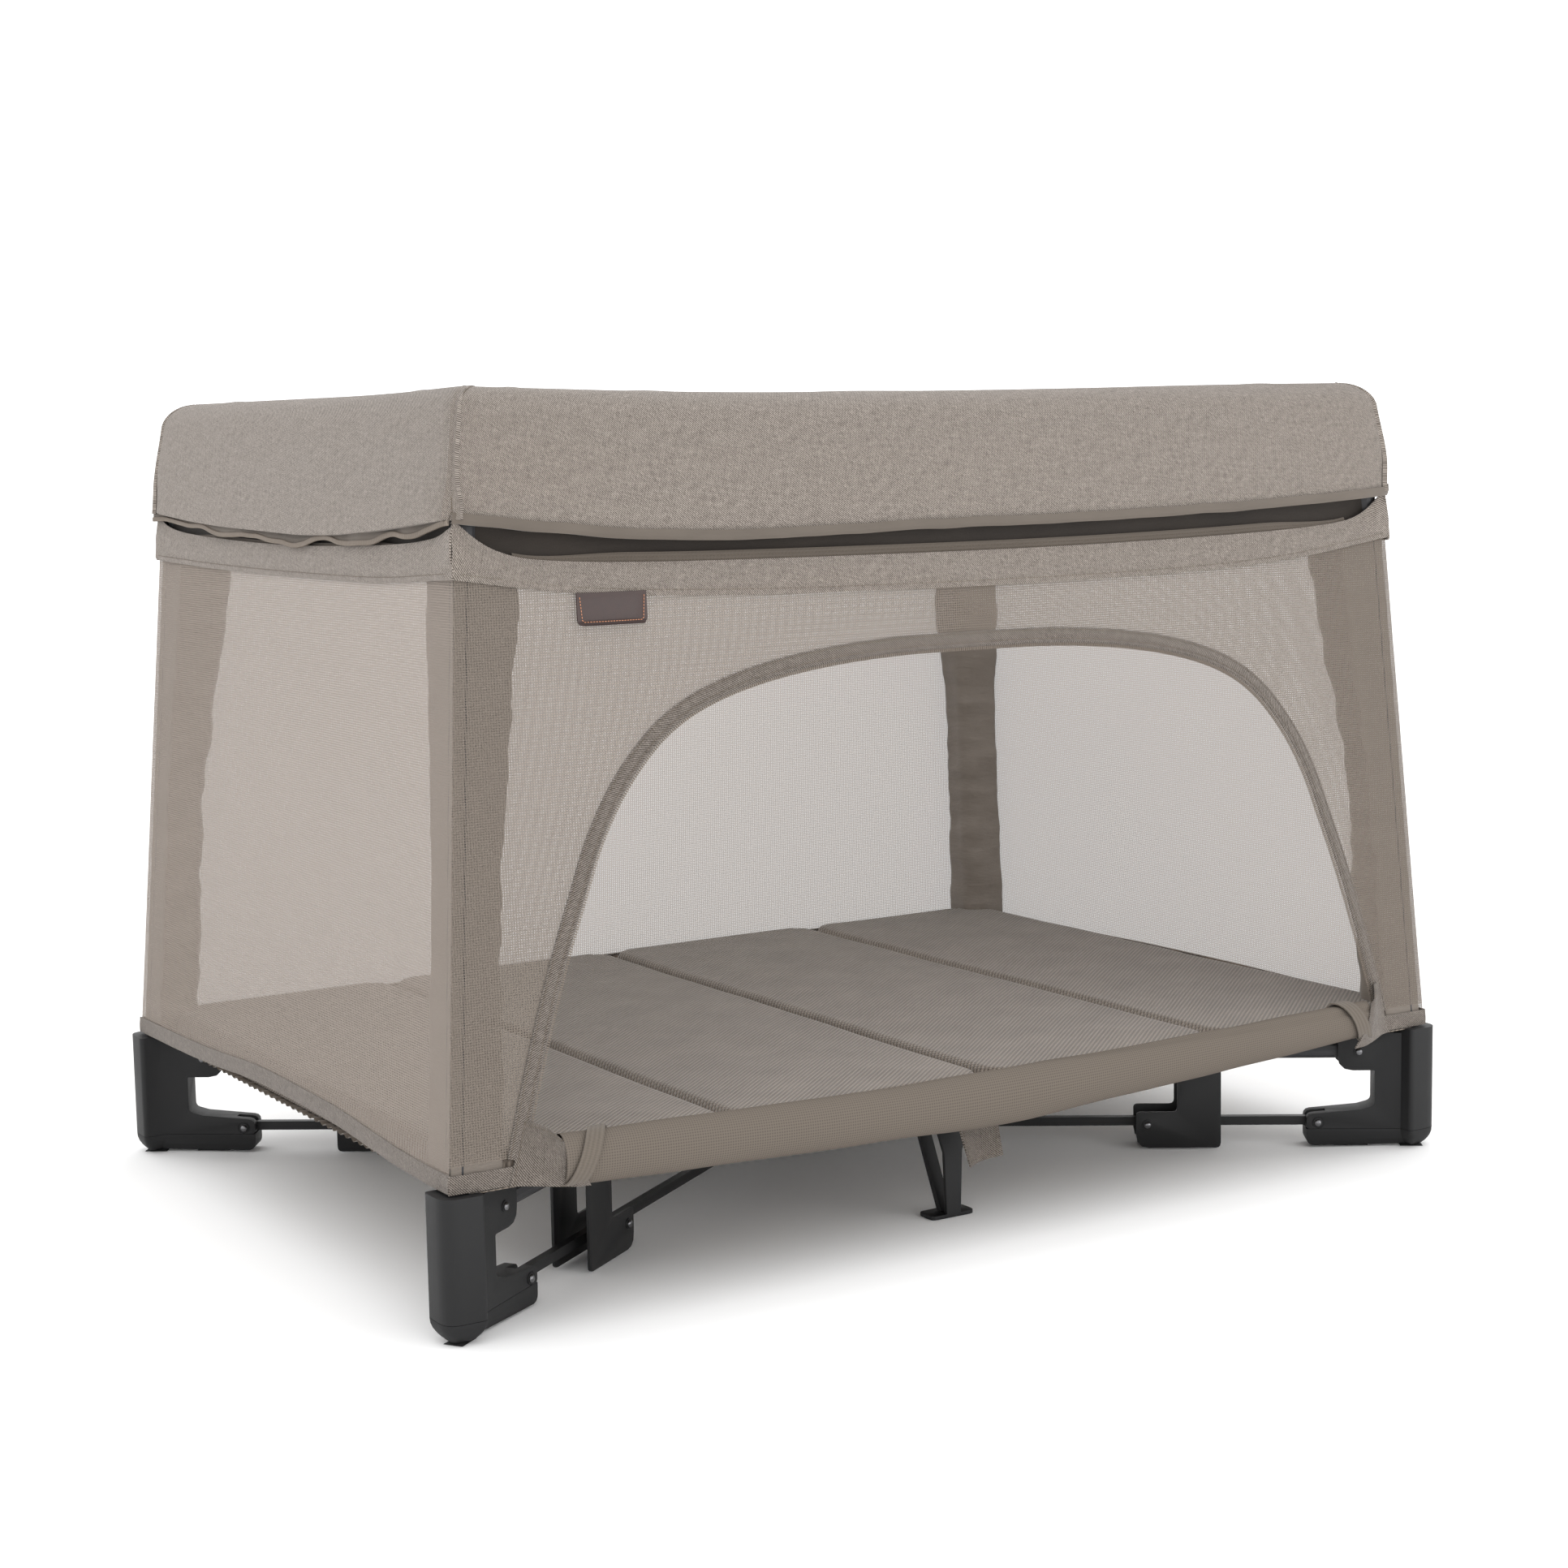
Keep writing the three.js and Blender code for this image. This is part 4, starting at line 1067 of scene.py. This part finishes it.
for name, x0, lean in (("left", -0.424, -1), ("right", 0.424, 1)):
    strap = cloth(
        "roll_strap_" + name, (30, 5), strapAt(x0, lean), paints["webbing"], uv=(0.09, 0.017),
        thick=0.0014
    )
    faceOut(strap)
    hang(strap, "front")
    at = strapAt(x0, lean)
    paths = [inFront([at(i / 40, v) for i in range(6, 36)], 0.0005) for v in (0.14, 0.86)]
    rows = stitchRows("roll_strap_stitches_" + name, paths, (0, -1, 0.2), 0.0036, (0.0025, 0.0006, 0.0006))
    hang(rows, "front")

gusset = {"corners": [(-0.487, 0.1235), (-0.472, 0.175), (-0.447, 0.160), (-0.423, 0.119)]}
for name, way in (("left", 1), ("right", -1)):
    def gussetAt(u, v):
        a, b, c, d = gusset["corners"]
        x = (a[0] * (1 - u) + d[0] * u) * (1 - v) + (b[0] * (1 - u) + c[0] * u) * v
        z = (a[1] * (1 - u) + d[1] * u) * (1 - v) + (b[1] * (1 - u) + c[1] * u) * v
        arcLift = 0.004 * math.sin(math.pi * u) * v
        over = 0.003 + 0.019 * smooth(u * 1.1) + 0.004 * math.sin(math.pi * v) * u
        fold = ripple(x * 1.4, z, 3, 0.014) * 0.0018 * math.sin(math.pi * u)
        return onSide("front", way * x, z + arcLift, over + fold)
    piece = cloth("gusset_" + name, (26, 22), gussetAt, paints["hemTwill"], uv=(0.06, 0.05), thick=0.0016)
    if way < 0:
        faceOut(piece)
    hang(piece, "front")
    path = [gussetAt(0.05, i / 20) for i in range(21)]
    path += [gussetAt(0.05 + 0.9 * i / 20, 0.94) for i in range(1, 21)]
    row = strew(
        "gusset_stitches_" + name, inFront(path, 0.0004), (0, -1, 0), 0.0034, (0.0024, 0.0005, 0.0005),
        paints["thread"]
    )
    hang(row, "front")
print("door roll made")

# four padded boards in ribbed knit, split along the middle so that they fold up with the hub
mattress = {
    "x": 0.522, "y": 0.366, "front": 0.378, "top": 0.151, "base": 0.1236, "edge": 9 * mm,
    "round": 30 * mm, "outerRound": 52 * mm, "crown": 1.6 * mm
}
panels = [(-0.396, 0.1255), (-0.135, 0.1345), (0.135, 0.1345), (0.396, 0.1255)]


floorSheet = {"x": 0.529, "y": 0.371, "z": 0.1192, "droop": 0.0045, "gather": 0.0017, "pleat": 0.014}


def foldWithHub(piece, body, node):
    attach(piece, body)
    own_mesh(piece)
    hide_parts(node)


def mattressHeight(x, y):
    best = -1.0
    for centre, half in panels:
        r = mattress["outerRound"] if (x - centre) * centre > 0 and abs(centre) > 0.2 else mattress["round"]
        dx, dy = abs(x - centre) - half + r, abs(y) - (mattress["y"] if y > 0 else mattress["front"]) + r
        away = math.hypot(max(dx, 0), max(dy, 0)) + min(max(dx, dy), 0) - r
        best = max(best, -away)
    rise = min(max(best / mattress["edge"], 0), 1)
    pillow = math.sqrt(max(1 - (1 - rise) ** 2, 0))
    ease = (ripple(x, y, 1, 0.22) * 0.0012 + ripple(x * 0.5, y, 4, 0.09) * 0.0007) * smooth(abs(y) / 0.05)
    crown = mattress["crown"] * smooth(best / 0.1)
    inside = abs(y) < mattress["y"] - 0.012 and abs(x) < mattress["x"] - 0.012
    low = mattress["base"] + (0.007 if inside else 0.0)
    return low + (mattress["top"] - low) * pillow - 0.0015 + crown + ease * pillow


for name, start, end, body in (
    ("front", -mattress["front"], 0.0, "strut_front"), ("back", 0.0, mattress["y"], "strut_back")
):
    def boardAt(u, v):
        x, y = (2 * u - 1) * mattress["x"], start + (end - start) * v
        return (x, y, mattressHeight(x, y))
    board = cloth("mattress_" + name, (230, 80), boardAt, paints["knit"], uv="xy")
    only(board)
    bpy.ops.object.mode_set(mode="EDIT")
    bpy.ops.mesh.select_all(action="DESELECT")
    bpy.ops.mesh.select_non_manifold()
    bpy.ops.mesh.extrude_region_move()
    bpy.ops.transform.resize(value=(1, 1, 0), center_override=(0, 0, mattress["base"] - 0.0004))
    bpy.ops.mesh.edge_face_add()
    faceOut(board)
    bpy.ops.object.shade_smooth_by_angle(angle=math.radians(60))
    foldWithHub(board, body, "mattress")

    def underAt(u, v):
        x = (2 * u - 1) * floorSheet["x"]
        y = (start + (end - start) * v) * (floorSheet["y"] / abs(start + end))
        nearEdge = max(smooth((abs(x) - 0.47) / 0.059), smooth((abs(y) - 0.325) / 0.043))
        along = (x if abs(y) > 0.33 else y) * 2 * math.pi / floorSheet["pleat"]
        gathers = math.sin(
            along + 3 * ripple(x, y, 0, 0.05)
        ) * floorSheet["gather"] * smooth(nearEdge * 1.4 - 0.3)
        drop = floorSheet["droop"] * math.sin(math.pi * nearEdge)
        return (x, y, floorSheet["z"] - drop + gathers + 0.002 * nearEdge)
    under = cloth("floor_cloth_" + name, (300, 90), underAt, paints["floorCloth"], uv=(1.058, 0.368))
    foldWithHub(under, body, "floor_cloth")
print("mattress and floor cloth made")

# the pull tab under the middle of the door side
tab = {"x": 0.0, "wide": 0.044, "top": 0.104, "low": 0.064, "y": -0.352}


def tabAt(u, v):
    x = tab["x"] + (u - 0.5) * tab["wide"] * (1 - 0.36 * (1 - v) * (1 - u))
    z = tab["low"] + (tab["top"] - tab["low"]) * v + 0.006 * u * (1 - v) - 0.004 * (1 - v)
    return (x, tab["y"] - 0.01 * (1 - v) + 0.004 * math.sin(math.pi * u), z)


tabPiece = cloth("pull_tab", (14, 12), tabAt, paints["hemTwill"], uv=(0.044, 0.04), thick=0.002)
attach(tabPiece, "strut_front")
tabPath = [tabAt(0.08, 1 - i / 14) for i in range(14)]
tabPath += [tabAt(0.08 + 0.84 * i / 14, 0.09) for i in range(15)]
tabPath += [tabAt(0.92, 0.09 + i / 16) for i in range(14)]
tabRow = strew(
    "pull_tab_stitches", inFront(tabPath, 0.0004), (0, -1, 0), 0.003, (0.0021, 0.0005, 0.0005),
    paints["thread"]
)
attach(tabRow, "strut_front")

# the leather tab under the band: blank, stitched round
label = {
    "x": -0.3665, "wide": 0.069, "low": 0.5722, "top": 0.599, "thick": 1.7 * mm, "round": 5 * mm,
    "taper": 0.94
}


def labelY(x, z):
    # on the leaning wall, with the sides bowed back
    return -wallY(z) - 0.0052 + 0.0022 * ((x - label["x"]) / 0.034) ** 2


def pickLowCorners(piece):
    for edge in piece.data.edges:
        a, b = (piece.data.vertices[i].co for i in edge.vertices)
        edge.select = abs(a.y - b.y) > 0.0005 and a.z < (label["low"] + label["top"]) / 2


def makeLabel():
    deselect()
    bpy.ops.mesh.primitive_cube_add(size=1, location=(label["x"], 0, (label["low"] + label["top"]) / 2))
    piece = bpy.context.object
    bpy.ops.object.transform_apply(location=True, rotation=True, scale=True)
    bpy.ops.object.mode_set(mode="EDIT")
    bpy.ops.mesh.select_all(action="SELECT")
    middle = (label["x"], 0, (label["low"] + label["top"]) / 2)
    bpy.ops.transform.resize(
        value=(label["wide"], label["thick"], label["top"] - label["low"]), center_override=middle
    )
    bpy.ops.object.mode_set(mode="OBJECT")
    for vertex in piece.data.vertices:
        vertex.select = vertex.co.z < middle[2]
    for edge in piece.data.edges:
        edge.select = all(piece.data.vertices[i].select for i in edge.vertices)
    bpy.ops.object.mode_set(mode="EDIT")
    bpy.ops.transform.resize(value=(label["taper"], 1, 1), center_override=middle)
    bpy.ops.mesh.select_all(action="DESELECT")
    bpy.ops.object.mode_set(mode="OBJECT")
    pickLowCorners(piece)
    bpy.ops.object.mode_set(mode="EDIT")
    bpy.ops.mesh.select_mode(type="EDGE")
    bpy.ops.object.mode_set(mode="OBJECT")
    pickLowCorners(piece)
    bpy.ops.object.mode_set(mode="EDIT")
    bpy.ops.mesh.bevel(offset=label["round"], segments=6, affect="EDGES")
    bpy.ops.object.mode_set(mode="OBJECT")
    applyModifier(
        piece, "BEVEL", width=0.0005, segments=3, limit_method="ANGLE", angle_limit=math.radians(50)
    )
    # lay it against the leaning wall
    for vertex in piece.data.vertices:
        vertex.co.y += labelY(vertex.co.x, vertex.co.z)
    return finishPiece(piece, "leather_tab", paints["leather"], 40)


labelPiece = makeLabel()
hang(labelPiece, "front")
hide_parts("leather_label")
# down the left side, along the bottom and up the right side
labelHalf = [(0.0322, 0.596), (0.0306, 0.5768), (0.0285, 0.5752)]
labelEdge = [(label["x"] - x * 0.93, z) for x, z in labelHalf]
labelEdge += [(label["x"] + x * 0.93, z) for x, z in reversed(labelHalf)]
labelPath = []
for a, b in zip(labelEdge, labelEdge[1:]):
    labelPath += [(a[0] + (b[0] - a[0]) * i / 8, a[1] + (b[1] - a[1]) * i / 8) for i in range(8)]
labelPath.append(labelEdge[-1])
labelPath = [(x, labelY(x, z) - label["thick"] / 2 - 0.0001, z) for x, z in labelPath]
labelRow = strew(
    "leather_tab_stitches", labelPath, (0, -1, 0), 0.0026, (0.0017, 0.0006, 0.0005),
    paints["copperThread"]
)
hang(labelRow, "front")
print("tab and label made")

# the hard parts keep their shape, with the sharp edges eased
nodePaints = {
    "charcoal": ("corner_foot",),
    "sole": ("foot_sole",),
    "tube": ("corner_post", "upper_tube", "long_rail", "short_rail"),
    "steel": ("lower_bar", "mid_bracket", "leg_strut", "mid_leg"),
    "latch": ("corner_joint", "hub_body", "rail_latch"),
    "button": ("latch_button",),
}
for name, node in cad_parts.items():
    for paintName, starts in nodePaints.items():
        if name.startswith(starts):
            node.data.materials.clear()
            node.data.materials.append(paints[paintName])
cornerAxis = (0.5325, 0.3705)


def roundUnder(piece, corner, under):
    # rings cut through the sole, then drawn in towards its foot, round it off underneath
    for z in under["rings"]:
        editAll(piece, bpy.ops.mesh.bisect, plane_co=(0, 0, z), plane_no=(0, 0, 1))
    sx, sy = corners[corner]
    centre = Vector((sx * cornerAxis[0], sy * cornerAxis[1], 0))
    for vertex in piece.data.vertices:
        z = vertex.co.z
        if z < under["glide"]:
            continue
        away = Vector((vertex.co.x, vertex.co.y, 0)) - centre
        drop = max(0.0, 1 - (z - under["glide"]) / under["tall"])
        shrink = 1 - under["draw"] * drop ** 2.2 * smooth((0.045 - away.length) / 0.012)
        vertex.co.x, vertex.co.y = centre.x + away.x * shrink, centre.y + away.y * shrink


def easedCopy(nodeName, name, body, paintName, width, under=None):
    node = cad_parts[nodeName]
    piece = node.copy()
    piece.data = node.data.copy()
    scene.collection.objects.link(piece)
    piece.parent = None
    for key in list(piece.keys()):
        if key.startswith("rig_"):
            del piece[key]
    only(piece)
    bpy.ops.object.mode_set(mode="EDIT")
    bpy.ops.mesh.select_all(action="SELECT")
    bpy.ops.mesh.remove_doubles(threshold=0.00002)
    bpy.ops.mesh.dissolve_limited(angle_limit=math.radians(1.0))
    bpy.ops.object.mode_set(mode="OBJECT")
    if under:
        roundUnder(piece, nodeName[-2:], under)
    if piece.data.has_custom_normals:
        bpy.ops.mesh.customdata_custom_splitnormals_clear()
    applyModifier(
        piece, "BEVEL", width=width, segments=3, limit_method="ANGLE", angle_limit=math.radians(38),
        use_clamp_overlap=True, harden_normals=False
    )
    finishPiece(piece, name, paints[paintName], 50 if paintName in ("charcoal", "sole") else 32)
    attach(piece, body)
    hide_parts(nodeName)


underside = {"rings": (0.0045, 0.0075, 0.011, 0.015), "glide": 0.0021, "tall": 0.0168, "draw": 0.52}
for corner in corners:
    easedCopy(
        "corner_foot_" + corner, "foot_body_" + corner, "corner_" + corner, "charcoal",
        0.0012
    )
    easedCopy(
        "foot_sole_" + corner, "foot_pad_" + corner, "corner_" + corner, "sole", 0.0012,
        under=underside
    )
    easedCopy(
        "mid_bracket_" + corner, "bracket_plates_" + corner, "bracket_" + corner, "steel",
        0.0005
    )
for side in ("front", "back"):
    easedCopy("mid_leg_" + side, "centre_leg_" + side, "leg_" + side, "steel", 0.0008)

# bright rivet heads on the pivots
rivet = {
    "radius": 3.7 * mm, "height": 2.1 * mm, "diagonal": math.hypot(*cornerAxis),
    "angle": math.atan2(cornerAxis[1], cornerAxis[0])
}
# each pivot's place in from the corner axis, its height, how far its head stands out, and the body it is on
rivetSpots = [
    (0.057, 0.099, 0.0151, "corner"), (0.0975, 0.0255, 0.0143, "corner"),
    (0.2294, 0.099, 0.0201, "bracket"), (0.2699, 0.0255, 0.0201, "bracket")
]


def rivetHead():
    deselect()
    bpy.ops.mesh.primitive_uv_sphere_add(segments=20, ring_count=12, radius=rivet["radius"])
    head = bpy.context.object
    editAll(
        head, bpy.ops.mesh.bisect, plane_co=(0, 0, 0), plane_no=(0, 0, 1), clear_inner=True, use_fill=True
    )
    editAll(head, bpy.ops.transform.resize, value=(1, 1, rivet["height"] / rivet["radius"]))
    return head


head = rivetHead()
for corner, (sx, sy) in corners.items():
    groups = {"corner": [], "bracket": []}
    inward = Vector((-sx * math.cos(rivet["angle"]), -sy * math.sin(rivet["angle"]), 0))
    across = Vector((inward.y, -inward.x, 0))
    for back, z, out, owner in rivetSpots:
        for way in (-1, 1):
            copy = head.copy()
            copy.data = head.data.copy()
            scene.collection.objects.link(copy)
            spot = -inward * (rivet["diagonal"] - back) + across * (out * way) + Vector((0, 0, z))
            turn = (across * way).to_track_quat("Z", "Y").to_matrix().to_4x4()
            copy.data.transform(Matrix.Translation(spot) @ turn)
            groups[owner].append(copy)
    for owner, heads in groups.items():
        piece = finishPiece(merge(heads, "rivets"), "rivets_" + owner + "_" + corner, paints["rivet"])
        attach(piece, owner + "_" + corner)
bpy.data.objects.remove(head)
print("hard parts eased")
